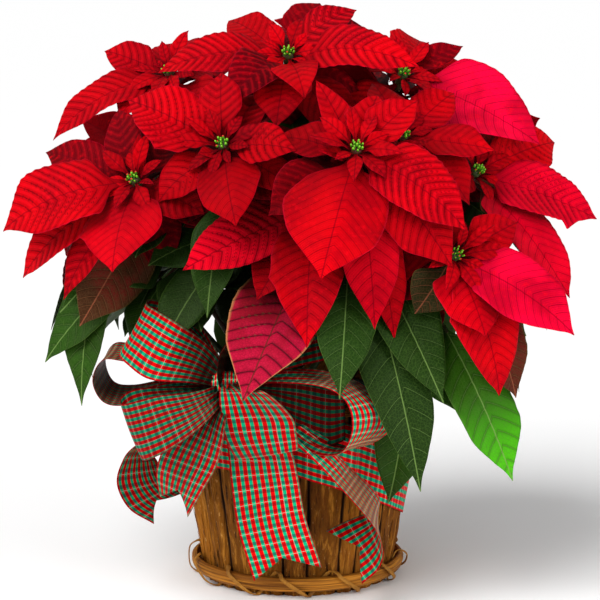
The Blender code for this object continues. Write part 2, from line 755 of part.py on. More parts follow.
def hoop_profile(z_mid):
    """Half-round section of a hoop: flat back along the slats, round front."""
    half = HOOP_HIGH / 2
    back = slat_radius(z_mid) + 1.4 * MM + HOOP_OFF
    profile = [(back - SLAT_FLARE * half, z_mid - half)]
    for share in (-0.5, 0.5):
        profile.append((back + SLAT_FLARE * half * share
                        + HOOP_DEEP * math.cos(share * 1.25), z_mid + half * share))
    profile.append((back + SLAT_FLARE * half, z_mid + half))
    return profile


def hoop(name, z_mid, mat):
    shape = turned_shape(hoop_profile(z_mid), 36)
    return add_object(name, *shape, mat, smooth=True)


def cane_path(z_mid):
    """Centre line of the cane that winds round a hoop, with the way it faces."""
    back = slat_radius(z_mid) + 1.4 * MM + HOOP_OFF
    points = []
    for turn in range(CANE_TURNS):
        for share, (out, up), facing in CANE_TURN:
            a = 2 * math.pi * (turn + share) / CANE_TURNS - 0.12
            way = Vector((math.cos(a), math.sin(a), 0))
            r = back + (out + SLAT_FLARE * up) * MM
            points.append((way * r + Vector((0, 0, z_mid + up * MM)),
                           (way * facing[0] + Vector((0, 0, facing[1]))).normalized()))
    return points


def lashing(name, z_mid, mat):
    """Split cane wound diagonally round a hoop, joined into one ring."""
    points = cane_path(z_mid)
    count = len(points)
    rows = []
    for i, (p, normal) in enumerate(points):
        along = (points[(i + 1) % count][0] - points[i - 1][0]).normalized()
        normal = (normal - along * normal.dot(along)).normalized()
        side = along.cross(normal) * CANE_WIDE / 2
        off = normal * CANE_THICK / 2
        rows.append([p - side - off, p + side - off, p + off])
    verts, faces = ring_shape(rows, closed=True)
    return add_object(name, verts, faces, mat, smooth=True)


# Pot and soil
def pot_inner_r(z):
    share = (z - BOARD_THICK - GAP) / POT_HIGH
    return POT_FOOT_R + (POT_RIM_R - POT_FOOT_R) * share - POT_WALL


def growers_pot(mat):
    low, high = BOARD_THICK + GAP, BOARD_THICK + GAP + POT_HIGH
    lip = high - 9 * MM
    levels = (
        (POT_FOOT_R, low), (pot_inner_r(lip) + POT_WALL, lip),
        (POT_RIM_R + 1.6 * MM, lip), (POT_RIM_R + 1.6 * MM, high), (POT_RIM_R - POT_WALL, high),
        (pot_inner_r(low + 2 * MM), low + 2 * MM),
    )
    return add_object("growers_pot", *disc_shape(levels, 24), mat)


def soil(mat):
    """Potting soil with a plain hole for each trunk."""
    low = BOARD_THICK + 2 * GAP + 2 * MM
    top = BOARD_THICK + GAP + POT_HIGH - SOIL_BELOW_RIM
    levels = ((pot_inner_r(low) - GAP, low), (pot_inner_r(top) - GAP, top),
              (pot_inner_r(top) * 0.72, top + 3 * MM), (pot_inner_r(top) * 0.3, top + 4 * MM))
    obj = add_object("soil", *disc_shape(levels, 24), mat)
    cutters = []
    for name, (foot, _) in TRUNKS.items():
        depth = disc_shape(((TRUNK_R + GAP, top - TRUNK_HOLE_DEEP), (TRUNK_R + GAP, top + 0.05)), 12)
        verts = [v + Vector((foot[0], foot[1], 0)) * MM for v in depth[0]]
        hole = add_object(f"hole {name}", verts, depth[1], mat)
        cut = obj.modifiers.new(f"hole {name}", "BOOLEAN")
        cut.operation = "DIFFERENCE"
        cut.object = hole
        cut.solver = "EXACT"
        cutters.append(hole)
    bpy.context.view_layer.update()
    seen_by = bpy.context.evaluated_depsgraph_get()
    mesh = bpy.data.meshes.new_from_object(obj.evaluated_get(seen_by), depsgraph=seen_by)
    obj.modifiers.clear()
    obj.data = mesh
    mesh.name = "soil"
    for hole in cutters:
        bpy.data.objects.remove(hole, do_unlink=True)
    keep_main_body(mesh)
    return obj


# Ribbon
def wrap_height(turn):
    """Height of the wrap's middle: low at the right, level behind the bow."""
    lift = math.cos(turn - WRAP_HIGH_SIDE)
    if lift > 0.5:
        lift = 0.5 + (lift - 0.5) * 0.15
    return WRAP_MID_Z + WRAP_RISE * lift


def wrap_radius(z, turn):
    """Inner radius of the wrap, eased out where it passes over the rim hoop."""
    rise = max(0.0, min(1.0, math.cos(turn - WRAP_HIGH_SIDE) / 0.11))
    rise = rise * rise * (3 - 2 * rise)
    return slat_radius(z) + 2.0 * MM + 12.5 * MM * rise


def ribbon_wrap(mat):
    """Ribbon once round the basket, higher toward the bow."""
    rows = []
    for i in range(WRAP_SIDES):
        a = 2 * math.pi * i / WRAP_SIDES
        mid = wrap_height(a)
        low, high = mid - RIBBON_WIDE / 2, mid + RIBBON_WIDE / 2
        way = Vector((math.cos(a), math.sin(a), 0))
        inner, outer = wrap_radius(0, a), wrap_radius(0, a) + RIBBON_THICK
        rows.append([way * (inner + SLAT_FLARE * low) + Vector((0, 0, low)),
                     way * (outer + SLAT_FLARE * low) + Vector((0, 0, low)),
                     way * (outer + SLAT_FLARE * high) + Vector((0, 0, high)),
                     way * (inner + SLAT_FLARE * high) + Vector((0, 0, high))])
    verts, faces = ring_shape(rows, closed=True)
    return add_object("ribbon_wrap", verts, faces, mat, smooth=True)


def cross_lines(rows):
    """Both edges of the ribbon at each cross line."""
    lines = []
    for (column, row, near), (other_column, other_row), lean in rows:
        a = seen((column, row, near))
        flat = seen((other_column, other_row, near)) - a
        depth = math.sqrt(max(0.0, RIBBON_WIDE ** 2 - flat.length ** 2))
        lines.append((a, a + flat + TOWARD * depth * lean))
    return lines


def eased(points):
    """The points with one more between each two, on a smooth curve."""
    out = []
    for i in range(len(points) - 1):
        b, c = points[i], points[i + 1]
        a, d = points[max(i - 1, 0)], points[min(i + 2, len(points) - 1)]
        out += [b, (b + c) * 0.5625 - (a + d) * 0.0625]
    return out + [points[-1]]


def strip_shape(lines, notched):
    """A closed strip of ribbon through its cross lines."""
    edge_a, edge_b = [a for a, _ in lines], [b for _, b in lines]
    if not notched:
        edge_a, edge_b = eased(edge_a), eased(edge_b)
    middle = [(a + b) / 2 for a, b in zip(edge_a, edge_b)]
    count = len(middle)
    verts, faces = [], []
    size = 6 if notched else 4
    for i in range(count):
        way = (middle[min(i + 1, count - 1)] - middle[max(i - 1, 0)]).normalized()
        up = way.cross(edge_b[i] - edge_a[i]).normalized() * RIBBON_THICK / 2
        mid = middle[i]
        if notched and i == count - 1:
            mid = mid + (middle[i - 1] - mid).normalized() * NOTCH_DEEP
        row = [edge_a[i], mid, edge_b[i]] if notched else [edge_a[i], edge_b[i]]
        verts += [p - up for p in row] + [p + up for p in reversed(row)]
    for i in range(count - 1):
        p, q = size * i, size * i + size
        for j in range(size):
            k = (j + 1) % size
            if j < size // 2:
                faces += [(p + j, p + k, q + j), (p + k, q + k, q + j)]
            else:
                faces += [(p + j, p + k, q + k), (p + j, q + k, q + j)]
    last = size * (count - 1)
    caps = ((0, 1, 4, 5), (1, 2, 3, 4)) if notched else ((0, 1, 2, 3),)
    for cap in caps:
        faces.append(tuple(reversed(cap)))
        faces.append(tuple(last + n for n in cap))
    return verts, faces


def knot_shape():
    centre = seen(KNOT)
    rows = []
    for share in (-1.0, -0.72, -0.25, 0.25, 0.72, 1.0):
        r = math.sqrt(max(0.02, 1 - share * share))
        rows.append([centre + Vector((15 * MM * r * math.cos(2 * math.pi * k / 10),
                                      14 * MM * r * math.sin(2 * math.pi * k / 10), share * 15 * MM))
                     for k in range(10)])
    return ring_shape(rows, closed=False)


def bow(mat):
    shapes = [knot_shape()]
    for name, rows in BOW.items():
        shapes.append(strip_shape(cross_lines(rows), name in TAILS_NOTCHED))
    return fuse("ribbon_bow", shapes, mat, smooth=False)


# Plant
def trunk(name, placed, mat):
    foot, top = TRUNKS[name]
    low = BOARD_THICK + GAP + POT_HIGH - SOIL_BELOW_RIM - TRUNK_HOLE_DEEP + GAP
    a = Vector((foot[0] * MM, foot[1] * MM, low))
    b = Vector((foot[0] * MM, foot[1] * MM, low + 48 * MM))
    c = Vector(top) * MM
    shape = tube_shape([a, b, (b + c) / 2 + Vector((0, 0, 2 * MM)), c],
                       [TRUNK_R, TRUNK_R, TRUNK_R * 0.95, TRUNK_R * 0.9], 8)
    placed.add("trunk", shape)
    return add_object(f"trunk_{name}", *shape, mat, smooth=True)


def stem_path(trunk_name, bloom_name, lean):
    """Centre line of a stem from its trunk to just under its bloom."""
    _, centre, face, _ = BLOOMS[bloom_name]
    face = Vector(face).normalized()
    top = Vector(TRUNKS[trunk_name][1]) * MM
    last = seen(centre) - face * 30 * MM
    end = last - face * 9 * MM
    rank = [name for name, bloom in BLOOMS.items() if bloom[0] == trunk_name].index(bloom_name)
    flat = Vector((end.x - top.x, end.y - top.y, 0))
    start = top + flat.normalized() * (TRUNK_R + STEM_R + GAP) + Vector((0, 0, -(5 + 8.5 * rank) * MM))
    bend = Vector((start.x * 0.45 + end.x * 0.55, start.y * 0.45 + end.y * 0.55,
                   start.z * 0.55 + end.z * 0.45)) + lean
    return [curve_point(start, bend, end, t) for t in (0, 0.3, 0.65, 1.0)] + [last]


STEM_LEANS = [Vector((x, y, z)) * MM for z in (0, -14, 14) for x in (0, 10, -10, 20, -20, 32, -32)
              for y in (0, 10, -10, 20, -20, 32, -32)]


def place_stems(placed):
    """A clear centre line for each bloom's stem."""
    paths = {}
    for bloom_name, (trunk_name, _, _, _) in BLOOMS.items():
        for lean in STEM_LEANS:
            path = stem_path(trunk_name, bloom_name, lean)
            radii = [STEM_R + GAP] * len(path)
            if not placed.hit("", tube_shape(path, radii, 5)):
                break
        else:
            print("stem", bloom_name, "is not clear")
        placed.add(f"stem {bloom_name}", tube_shape(path, [STEM_R] * len(path), 5))
        paths[bloom_name] = path
    return paths


def along_path(path, share):
    place = share * (len(path) - 1)
    i = min(int(place), len(path) - 2)
    return path[i].lerp(path[i + 1], place - i), (path[i + 1] - path[i]).normalized()


def spread_blades(name):
    """The blades of a bloom: those laid out, and a shaded tier in the widest gaps."""
    _, centre, face, blades = BLOOMS[name]
    face = Vector(face).normalized()
    heart = seen(centre)
    side = face.orthogonal().normalized()
    other = face.cross(side)
    specs, turns = [], []
    for i, (kind, place, wide, arch, roll) in enumerate(blades):
        down = 5 + 1.4 * i
        root = heart - face * down * MM
        out = seen(place) - root
        out = (out - face * out.dot(face)).normalized()
        turns.append(math.atan2(out.dot(other), out.dot(side)) % (2 * math.pi))
        specs.append((kind, root + out * 4 * MM, seen(place), wide * MM, arch, roll, face, f"{name} {i}"))
    rng = random.Random(f"shade {name}")
    turns.sort()
    gaps = sorted(((turns[(i + 1) % len(turns)] - a) % (2 * math.pi), a) for i, a in enumerate(turns))
    for k, (gap, start) in enumerate(reversed(gaps[-SHADE_BLADES:])):
        a = start + gap / 2
        out = side * math.cos(a) + other * math.sin(a)
        root = heart - face * (6 + 1.4 * (len(blades) + k)) * MM
        long = rng.uniform(62, 84) * MM
        tip = root + out * long - face * long * rng.uniform(0.15, 0.45) - Vector((0, 0, 0.12 * long))
        specs.append((RED, root + out * 4 * MM, tip, rng.uniform(40, 50) * MM, 0.12, 0.0, face,
                      f"{name} shade {k}"))
    return specs


def bloom_core(name, placed):
    """The receptacle a bloom's blades grow from, with room kept for its beads."""
    _, centre, face, _ = BLOOMS[name]
    face = Vector(face).normalized()
    heart = seen(centre)
    core = tube_shape([heart - face * 29.6 * MM, heart - face * 24 * MM, heart - face * 5 * MM, heart],
                      [3.2 * MM, 5.4 * MM, 6.2 * MM, 5.0 * MM], 6)
    placed.add(f"bloom {name}", core)
    placed.add(f"head {name}", tube_shape([heart, heart + face * 13 * MM], [10.5 * MM, 8.5 * MM], 6))
    return core


def bloom_parts(name, core, placed):
    """Receptacle and blades of one bloom, kept clear of the rest."""
    shapes, lost = [core], 0
    for spec in spread_blades(name):
        blade = settle(placed, f"bloom {name}", spec)
        if blade is None:
            lost += 1
        else:
            shapes.append(blade_shape(blade))
    print("bloom", name, len(shapes) - 1, "blades", lost, "lost")
    return shapes


def spread_leaves(stem, path):
    """The green leaves of a stem: those laid out, and a few more by rule."""
    specs = []
    for i, (kind, grown_on, share, place, wide, arch, roll) in enumerate(LEAVES):
        if grown_on == stem:
            specs.append((kind, share, seen(place), wide * MM, arch, roll, f"leaf {i}"))
    rng = random.Random(f"leaves {stem}")
    turn = rng.uniform(0, 2 * math.pi)
    for k in range(RULE_LEAVES):
        turn += 2.4
        share = 0.5 + 0.3 * k
        root, _ = along_path(path, share)
        way = Vector((math.cos(turn), math.sin(turn), 0))
        way = (way + Vector((root.x, root.y, 0)) * 6).normalized()
        long = rng.uniform(78, 100) * MM
        tip = root + way * long - Vector((0, 0, rng.uniform(0.0, 0.35) * long))
        specs.append((GREEN, share, tip, rng.uniform(44, 56) * MM, 0.14, 0.0, f"rule leaf {stem} {k}"))
    blades = []
    for kind, share, tip, wide, arch, roll, seed in specs:
        root, along = along_path(path, share)
        out = tip - root
        side = (out - along * out.dot(along)).normalized()
        outward = Vector((tip.x, tip.y, 0)).normalized()
        front = max(0.0, min(1.0, -tip.y / 0.09))
        face = outward * (0.7 - 0.5 * front) + Vector((0, -0.75 * front, 0.6))
        blades.append((kind, root + side * 1.0 * MM, tip, wide, arch, roll, face.normalized(), seed))
    return blades


def leaf_parts(stem, path, placed):
    """Stem and green leaves of one leafy stem."""
    shapes, lost = [tube_shape(path, [STEM_R] * len(path), 5)], 0
    for spec in spread_leaves(stem, path):
        blade = settle(placed, f"stem {stem}", spec)
        if blade is None:
            lost += 1
        else:
            shapes.append(blade_shape(blade))
    print("stem", stem, len(shapes) - 1, "leaves", lost, "lost")
    return shapes


def cyathia(name, mat):
    """The cluster of small green-yellow beads in the middle of a bloom."""
    _, centre, face, _ = BLOOMS[name]
    face = Vector(face).normalized()
    heart = seen(centre)
    side = face.orthogonal().normalized()
    other = face.cross(side)
    base = heart + face * GAP
    shapes = [tube_shape([base, base + face * 3 * MM], [6.4 * MM, 6.0 * MM], 5)]
    rng = random.Random(f"cyathia {name}")
    spin = rng.uniform(0, 6.28)
    for k in range(5):
        a = spin + 2 * math.pi * k / 4
        out = Vector((0, 0, 0)) if k == 4 else (side * math.cos(a) + other * math.sin(a))
        middle = base + face * (7.0 if k == 4 else 5.6) * MM + out * 5.8 * MM
        shapes.append(bead_shape(middle, face + out * 0.25, 3.4 * MM, 9.8 * MM))
    return fuse(f"cyathia_{name}", shapes, mat)


def main():
    clear_scene()
    bark = material("bark", (0.16, 0.075, 0.04), 0.75)
    hoop_wood = material("hoop wood", (0.20, 0.07, 0.03), 0.5)
    cane = material("cane", (0.62, 0.38, 0.16), 0.45)
    board = material("base board", (0.42, 0.28, 0.16), 0.8)
    plastic = material("pot plastic", (0.02, 0.05, 0.03), 0.5)
    earth = material("soil", (0.035, 0.02, 0.013), 0.95)
    plaid = material("plaid ribbon", (0.55, 0.02, 0.03), 0.55)
    wood = material("trunk", (0.20, 0.16, 0.08), 0.7)
    green = material("leaf", (0.02, 0.12, 0.03), 0.45)
    red = material("bract", (0.72, 0.01, 0.03), 0.45)
    yellow = material("cyathia", (0.55, 0.55, 0.06), 0.5)

    placed = Placed()

    def keep(obj):
        mesh = obj.data
        shape = ([v.co.copy() for v in mesh.vertices], [tuple(f.vertices) for f in mesh.polygons])
        placed.add(obj.name, shape)
        return obj

    keep(basket_slats(bark))
    base_board(board)
    keep(hoop("foot_hoop", FOOT_HOOP_Z, hoop_wood))
    keep(lashing("foot_lashing", FOOT_HOOP_Z, cane))
    keep(hoop("rim_hoop", RIM_HOOP_Z, hoop_wood))
    keep(lashing("rim_lashing", RIM_HOOP_Z, cane))
    keep(growers_pot(plastic))
    keep(soil(earth))
    keep(ribbon_wrap(plaid))
    keep(bow(plaid))
    for name in TRUNKS:
        trunk(name, placed, wood)

    paths = place_stems(placed)
    cores = {name: bloom_core(name, placed) for name in BLOOMS}
    blooms = {name: bloom_parts(name, cores[name], placed) for name in BLOOMS}
    leafy = {name: leaf_parts(name, paths[name], placed) for name in BLOOMS}
    for name in BLOOMS:
        fuse(f"bloom_{name}", blooms[name], red)
        fuse(f"leafy_stem_{name}", leafy[name], green)
        cyathia(name, yellow)


main()
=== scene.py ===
"""Looks of a poinsettia in a bark basket, tied with a plaid ribbon and a bow.

Places of blooms, leaves and bow are the solid part's own: a front layout sheet of
600 squares each way, (column, row, near), near in mm toward the viewer.
"""
import math
import random
from types import SimpleNamespace

import bmesh
import bpy
import numpy as np
from mathutils import Matrix, Vector
from mathutils.kdtree import KDTree


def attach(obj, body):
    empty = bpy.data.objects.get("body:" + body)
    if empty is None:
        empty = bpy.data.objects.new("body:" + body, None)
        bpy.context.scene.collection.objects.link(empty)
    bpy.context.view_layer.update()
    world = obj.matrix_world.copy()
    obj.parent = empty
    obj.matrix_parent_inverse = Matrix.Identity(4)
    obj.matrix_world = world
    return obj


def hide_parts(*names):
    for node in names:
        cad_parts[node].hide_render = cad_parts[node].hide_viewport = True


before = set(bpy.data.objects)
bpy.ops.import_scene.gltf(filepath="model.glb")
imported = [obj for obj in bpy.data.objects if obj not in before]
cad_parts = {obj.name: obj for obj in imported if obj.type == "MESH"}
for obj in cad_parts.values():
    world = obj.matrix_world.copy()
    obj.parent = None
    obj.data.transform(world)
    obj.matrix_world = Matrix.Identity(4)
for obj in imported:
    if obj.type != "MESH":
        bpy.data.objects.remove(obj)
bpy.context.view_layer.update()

MM = 0.001
TURN = 2 * math.pi

# Front layout sheet
SQUARE = 0.88 * MM
SHEET_AXIS = 297.5
SHEET_MID = 300.0
SHEET_SIDE = 600
FLOOR_HALF = 45.0
EYE_TILT = math.radians(9.0)
EYE_FAR = 2.0
EYE_HIGH = 0.245

# Basket
SLAT_FOOT_R = 82.3 * MM
SLAT_FLARE = 0.166
BASKET_HIGH = 180 * MM
SLATS = 26
SLAT_THICK = 7 * MM
BOARD_THICK = 8 * MM
FIBRES_FROM = 22 * MM
HOOP_HIGH = 13.8 * MM
HOOP_DEEP = 6.2 * MM
HOOP_OFF = 3.2 * MM
FOOT_HOOP_Z = 12.0 * MM
RIM_HOOP_Z = 169 * MM
CANE_TURNS = 12
CANE_LEAD = 0.12
CANE_TURN = (
    (0.00, (8.2, 5.6), (1.0, 0.35)), (0.30, (8.2, -5.6), (1.0, -0.35)),
    (0.42, (2.8, -10.4), (0.3, -1.0)), (0.50, (-2.0, -8.9), (-1.0, -0.3)),
    (0.80, (-2.0, 8.9), (-1.0, 0.3)), (0.92, (2.8, 10.4), (0.3, 1.0)),
)

# Pot and soil
POT_FOOT_R = 70 * MM
POT_RIM_R = 97 * MM
POT_HIGH = 150 * MM
POT_WALL = 1.6 * MM
SOIL_BELOW_RIM = 15 * MM
SOIL_DOME = 4 * MM
LUMP = 80 * MM ** 2
LUMP_HIGH = 1.6 * MM
GAP = 0.35 * MM

# Ribbon
RIBBON_WIDE = 60 * MM
RIBBON_THICK = 0.4 * MM
WRAP_MID_Z = 121 * MM
WRAP_RISE = 44 * MM
WRAP_HIGH_SIDE = math.radians(-150)
KNOT = (229, 387, 122)
KNOT_R = 13.2 * MM
KNOT_SHADE = 50 * MM
NOTCH_DEEP = 16 * MM
PLAID_WIDE = 7.06 * MM
PLAID_LONG = 6.4 * MM
THREAD = 0.9 * MM

# Plant
TRUNK_R = 6.0 * MM
TRUNK_HOLE_DEEP = 38 * MM
TRUNK_UPRIGHT = 48 * MM
TRUNKS = {
    "left": ((-26, 6), (-34, -2, 205)),
    "right": ((27, 4), (36, -4, 205)),
    "rear": ((2, 34), (-2, 44, 212)),
}
STEM_R = 3.4 * MM
LEAF_STALK_R = 1.35 * MM
# Depth below the heart of a bloom, and radius there, in mm
HEART_CORE = ((29.6, 2.8), (24, 3.3), (14, 4.0), (5, 4.7), (0.4, 4.4), (0, 3.2))
# Middle height and radii of the crown, for the painted shade deep inside it
CROWN_MID_Z = 0.30
CROWN_WIDE = 0.25
CROWN_DEEP = 0.21

# Blades
SMALL_BLADE = 46 * MM
LEAST_HALF = 1.3 * MM
SAME_PLACE = 0.15 * MM
RULE_LEAVES = 2
YOUNG_BRACTS = 9
UNDER_LEAVES = 8
INNER_LEAVES = 3
# Leaves placed by rule above this height have the look of bracts
HIGH_LEAVES = 0.31
# Rows along and across a blade: large and seen plainly, others, and small or hidden ones
LARGE_BLADE = 43 * MM
PLAIN_BLADE = 22 * MM
LARGE_GRID = (80, 17)
BLADE_GRID = (38, 11)
PLAIN_GRID = (17, 7)
VEIN_APART = 7.6 * MM
STALK_SHARE = 0.19
RED = "bract"
TURNING = "turning"
GREEN = "leaf"

# Outlines: share along the blade and share of its width
OUTLINES = {
    RED: ((0.12, 0.16), (0.26, 0.88), (0.47, 1.00), (0.69, 0.84), (0.88, 0.36)),
    TURNING: ((0.14, 0.14), (0.30, 0.86), (0.49, 1.00), (0.70, 0.84), (0.88, 0.36)),
    GREEN: ((0.22, 0.08), (0.36, 0.86), (0.54, 1.00), (0.73, 0.84), (0.89, 0.36)),
}


def laid_out(trunk, heart, facing, bracts, turning=()):
    """A bloom from rows for its bracts and turning leaves: tip on the sheet, width, arch and any roll."""
    kinds = [RED] * len(bracts) + [TURNING] * len(turning)
    return trunk, heart, facing, [
        (kind, row[:3], row[3], row[4], sum(row[5:])) for kind, row in zip(kinds, [*bracts, *turning])]


BLOOMS = {
    "top": laid_out("rear", (288, 52, 20), (0.0, -0.7, 0.7), (
        (157, 72, 30, 50, 0.14, 10), (320, 3, -30, 44, 0.1), (357, 9, 14, 42, 0.16),
        (376, 33, -55, 40, 0.1), (420, 67, 48, 50, 0.16), (262, 82, 62, 24, 0.06),
        (225, 108, 66, 44, 0.22), (228, 20, -50, 44, 0.1), (305, 98, 78, 40, 0.16),
        (296, 26, -95, 46, 0.08), (276, 128, 76, 50, 0.14))),
    "upper_left": laid_out("left", (222, 143, 92), (-0.2, -0.75, 0.62), (
        (128, 100, 74, 60, 0.24), (222, 72, 50, 40, 0.12), (206, 100, 84, 17, 0.04),
        (297, 150, 118, 42, 0.12), (236, 226, 146, 54, 0.14), (198, 153, 122, 14, 0.04),
        (305, 196, 104, 34, 0.12), (158, 202, 92, 44, 0.16), (262, 92, 46, 38, 0.1))),
    "left": laid_out("left", (133, 178, 76), (-0.32, -0.75, 0.56), (
        (2, 231, 60, 66, 0.16), (22, 278, 44, 46, 0.12), (112, 272, 122, 68, 0.1), (118, 108, 36, 34, 0.1),
        (205, 214, 100, 44, 0.12), (182, 138, 48, 38, 0.1), (139, 133, 70, 14, 0.03),
        (63, 300, 72, 34, 0.1), (45, 152, 16, 40, 0.12))),
    "centre": laid_out("right", (357, 147, 126), (0.05, -0.75, 0.66), (
        (321, 279, 186, 86, 0.1), (467, 230, 152, 58, 0.12), (453, 268, 132, 62, 0.1),
        (375, 330, 150, 52, 0.12), (395, 340, 124, 40, 0.1), (316, 80, 88, 24, 0.08),
        (378, 94, 92, 36, 0.1), (418, 100, 102, 38, 0.12), (320, 150, 140, 15, 0.04),
        (275, 138, 100, 36, 0.14))),
    "right_upper": laid_out("right", (404, 134, 62), (0.25, -0.62, 0.72), (
        (495, 150, 84, 44, 0.12), (455, 92, 40, 40, 0.1), (372, 82, 30, 38, 0.1), (470, 205, 84, 48, 0.12))),
    "right_lower": laid_out("right", (457, 254, 122), (0.35, -0.8, 0.46), (
        (486, 336, 168, 60, 0.14), (500, 396, 136, 56, 0.12), (575, 335, 122, 58, 0.12),
        (518, 222, 92, 38, 0.1), (440, 205, 92, 36, 0.1)), (
        (415, 314, 124, 40, 0.1), (517, 398, 104, 54, 0.1))),
    "low_front": laid_out("left", (314, 206, 84), (-0.1, -0.8, 0.5), (
        (183, 270, 130, 58, 0.16), (257, 300, 140, 50, 0.12), (307, 348, 158, 58, 0.12),
        (215, 200, 70, 40, 0.1))),
    "right": laid_out("right", (478, 170, 34), (0.5, -0.6, 0.6), (
        (597, 219, 58, 66, 0.14), (570, 298, 84, 64, 0.14), (556, 142, 2, 48, 0.12),
        (500, 112, -40, 44, 0.1), (545, 190, -40, 46, 0.1)), (
        (520, 250, 60, 44, 0.1),)),
    "rear_right": laid_out("rear", (404, 72, -22), (0.25, -0.66, 0.7), (
        (540, 144, 30, 84, 0.15), (463, 46, -44, 26, 0.08), (396, 36, -30, 20, 0.04),
        (420, 40, -100, 48, 0.12), (360, 60, -70, 44, 0.1), (480, 84, -80, 50, 0.12))),
    "rear_left": laid_out("rear", (168, 70, -40), (-0.3, -0.6, 0.72), (
        (104, 50, -40, 40, 0.12), (52, 140, -30, 46, 0.14), (190, 40, -110, 46, 0.1),
        (130, 80, -110, 48, 0.12), (215, 72, -60, 42, 0.1), (118, 118, -4, 44, 0.12))),
    "back_high": laid_out("rear", (300, 88, -122), (0.0, 0.65, 0.75), (
        (228, 60, -150, 52, 0.14), (300, 48, -140, 46, 0.12), (378, 70, -152, 52, 0.14),
        (386, 130, -178, 54, 0.14), (322, 168, -208, 56, 0.14), (246, 150, -196, 56, 0.14),
        (212, 104, -150, 48, 0.12))),
    "back_left": laid_out("rear", (158, 150, -128), (-0.55, 0.6, 0.6), (
        (80, 118, -110, 52, 0.14), (56, 196, -126, 56, 0.14), (122, 250, -160, 58, 0.14),
        (212, 220, -190, 56, 0.14), (214, 140, -190, 48, 0.12), (150, 92, -140, 46, 0.12)), (
        (90, 262, -120, 50, 0.12),)),
    "back_right": laid_out("rear", (452, 148, -118), (0.55, 0.6, 0.6), (
        (540, 118, -98, 52, 0.14), (556, 200, -112, 56, 0.14), (492, 256, -150, 58, 0.14),
        (400, 224, -184, 56, 0.14), (398, 150, -186, 48, 0.12), (462, 88, -132, 46, 0.12)), (
        (528, 262, -112, 50, 0.12),)),
    "back_low": laid_out("rear", (300, 222, -168), (0.05, 0.85, 0.45), (
        (222, 250, -190, 54, 0.14), (262, 316, -196, 56, 0.14), (340, 318, -196, 56, 0.14),
        (380, 252, -190, 54, 0.14), (300, 180, -190, 40, 0.1)), (
        (300, 352, -160, 50, 0.12),)),
    "left_side": laid_out("left", (88, 212, -30), (-0.85, 0.15, 0.5), (
        (26, 196, -66, 50, 0.14), (30, 262, -24, 50, 0.14), (78, 316, -40, 50, 0.14),
        (84, 260, -96, 50, 0.14), (66, 160, -50, 42, 0.12))),
}

# Leaves: kind, bloom whose stem bears it, share along the stem, tip on the sheet, width, arch and roll
LEAVES = (
    (TURNING, "left", 0.8, 80, 326, 108, 62, 0.08, -30), (GREEN, "left", 0.56, 214, 372, 152, 64, -0.02),
    (GREEN, "centre", 0.6, 444, 403, 152, 56, 0.12), (GREEN, "right_lower", 0.5, 388, 504, 74, 46, 0.26),
    (GREEN, "left_side", 0.85, 81, 406, 64, 44, 0.16), (GREEN, "left", 0.62, 44, 362, 66, 52, 0.16),
    (GREEN, "left", 0.74, 60, 312, 100, 34, 0.12), (GREEN, "left", 0.5, 130, 345, 60, 42, 0.12),
    (GREEN, "upper_left", 0.78, 207, 318, 118, 42, 0.12), (GREEN, "upper_left", 0.5, 160, 352, 92, 46, 0.12),
    (GREEN, "centre", 0.6, 421, 492, 112, 58, 0.2), (GREEN, "centre", 0.55, 340, 399, 160, 52, 0.12),
    (TURNING, "low_front", 0.62, 243, 401, 166, 78, 0.12),
    (GREEN, "low_front", 0.6, 316, 372, 116, 44, 0.12),
    (GREEN, "right_lower", 0.62, 513, 481, 128, 56, 0.22),
    (GREEN, "right_lower", 0.8, 527, 336, 92, 40, 0.1),
    (GREEN, "right_lower", 0.45, 468, 420, 104, 48, 0.14), (GREEN, "right", 0.8, 512, 238, 92, 44, 0.1),
    (GREEN, "right", 0.6, 548, 330, 20, 52, 0.16), (GREEN, "right", 0.45, 520, 392, -10, 54, 0.18),
    (GREEN, "rear_right", 0.55, 470, 270, -40, 50, 0.12), (GREEN, "left_side", 0.8, 50, 330, -20, 50, 0.16),
    (GREEN, "left_side", 0.6, 92, 380, -30, 54, 0.18), (GREEN, "left_side", 0.45, 96, 342, -90, 52, 0.16),
    (GREEN, "back_left", 0.75, 118, 330, -130, 56, 0.18),
    (GREEN, "back_left", 0.55, 176, 372, -150, 58, 0.2), (GREEN, "back_low", 0.8, 232, 380, -172, 56, 0.18),
    (GREEN, "back_low", 0.62, 360, 384, -172, 56, 0.18), (GREEN, "back_low", 0.45, 296, 420, -150, 58, 0.2),
    (GREEN, "back_right", 0.75, 486, 330, -130, 56, 0.18),
    (GREEN, "back_right", 0.55, 426, 376, -152, 58, 0.2),
    (GREEN, "back_high", 0.6, 250, 300, -168, 48, 0.14),
    (GREEN, "back_high", 0.75, 352, 300, -172, 48, 0.14), (GREEN, "rear_left", 0.6, 130, 200, -90, 46, 0.12),
    (GREEN, "rear_left", 0.35, 152, 282, -40, 60, 0.14), (GREEN, "top", 0.45, 210, 262, 20, 58, 0.14),
    (GREEN, "right_upper", 0.55, 430, 300, 40, 56, 0.14), (GREEN, "top", 0.7, 300, 180, 60, 46, 0.1),
)

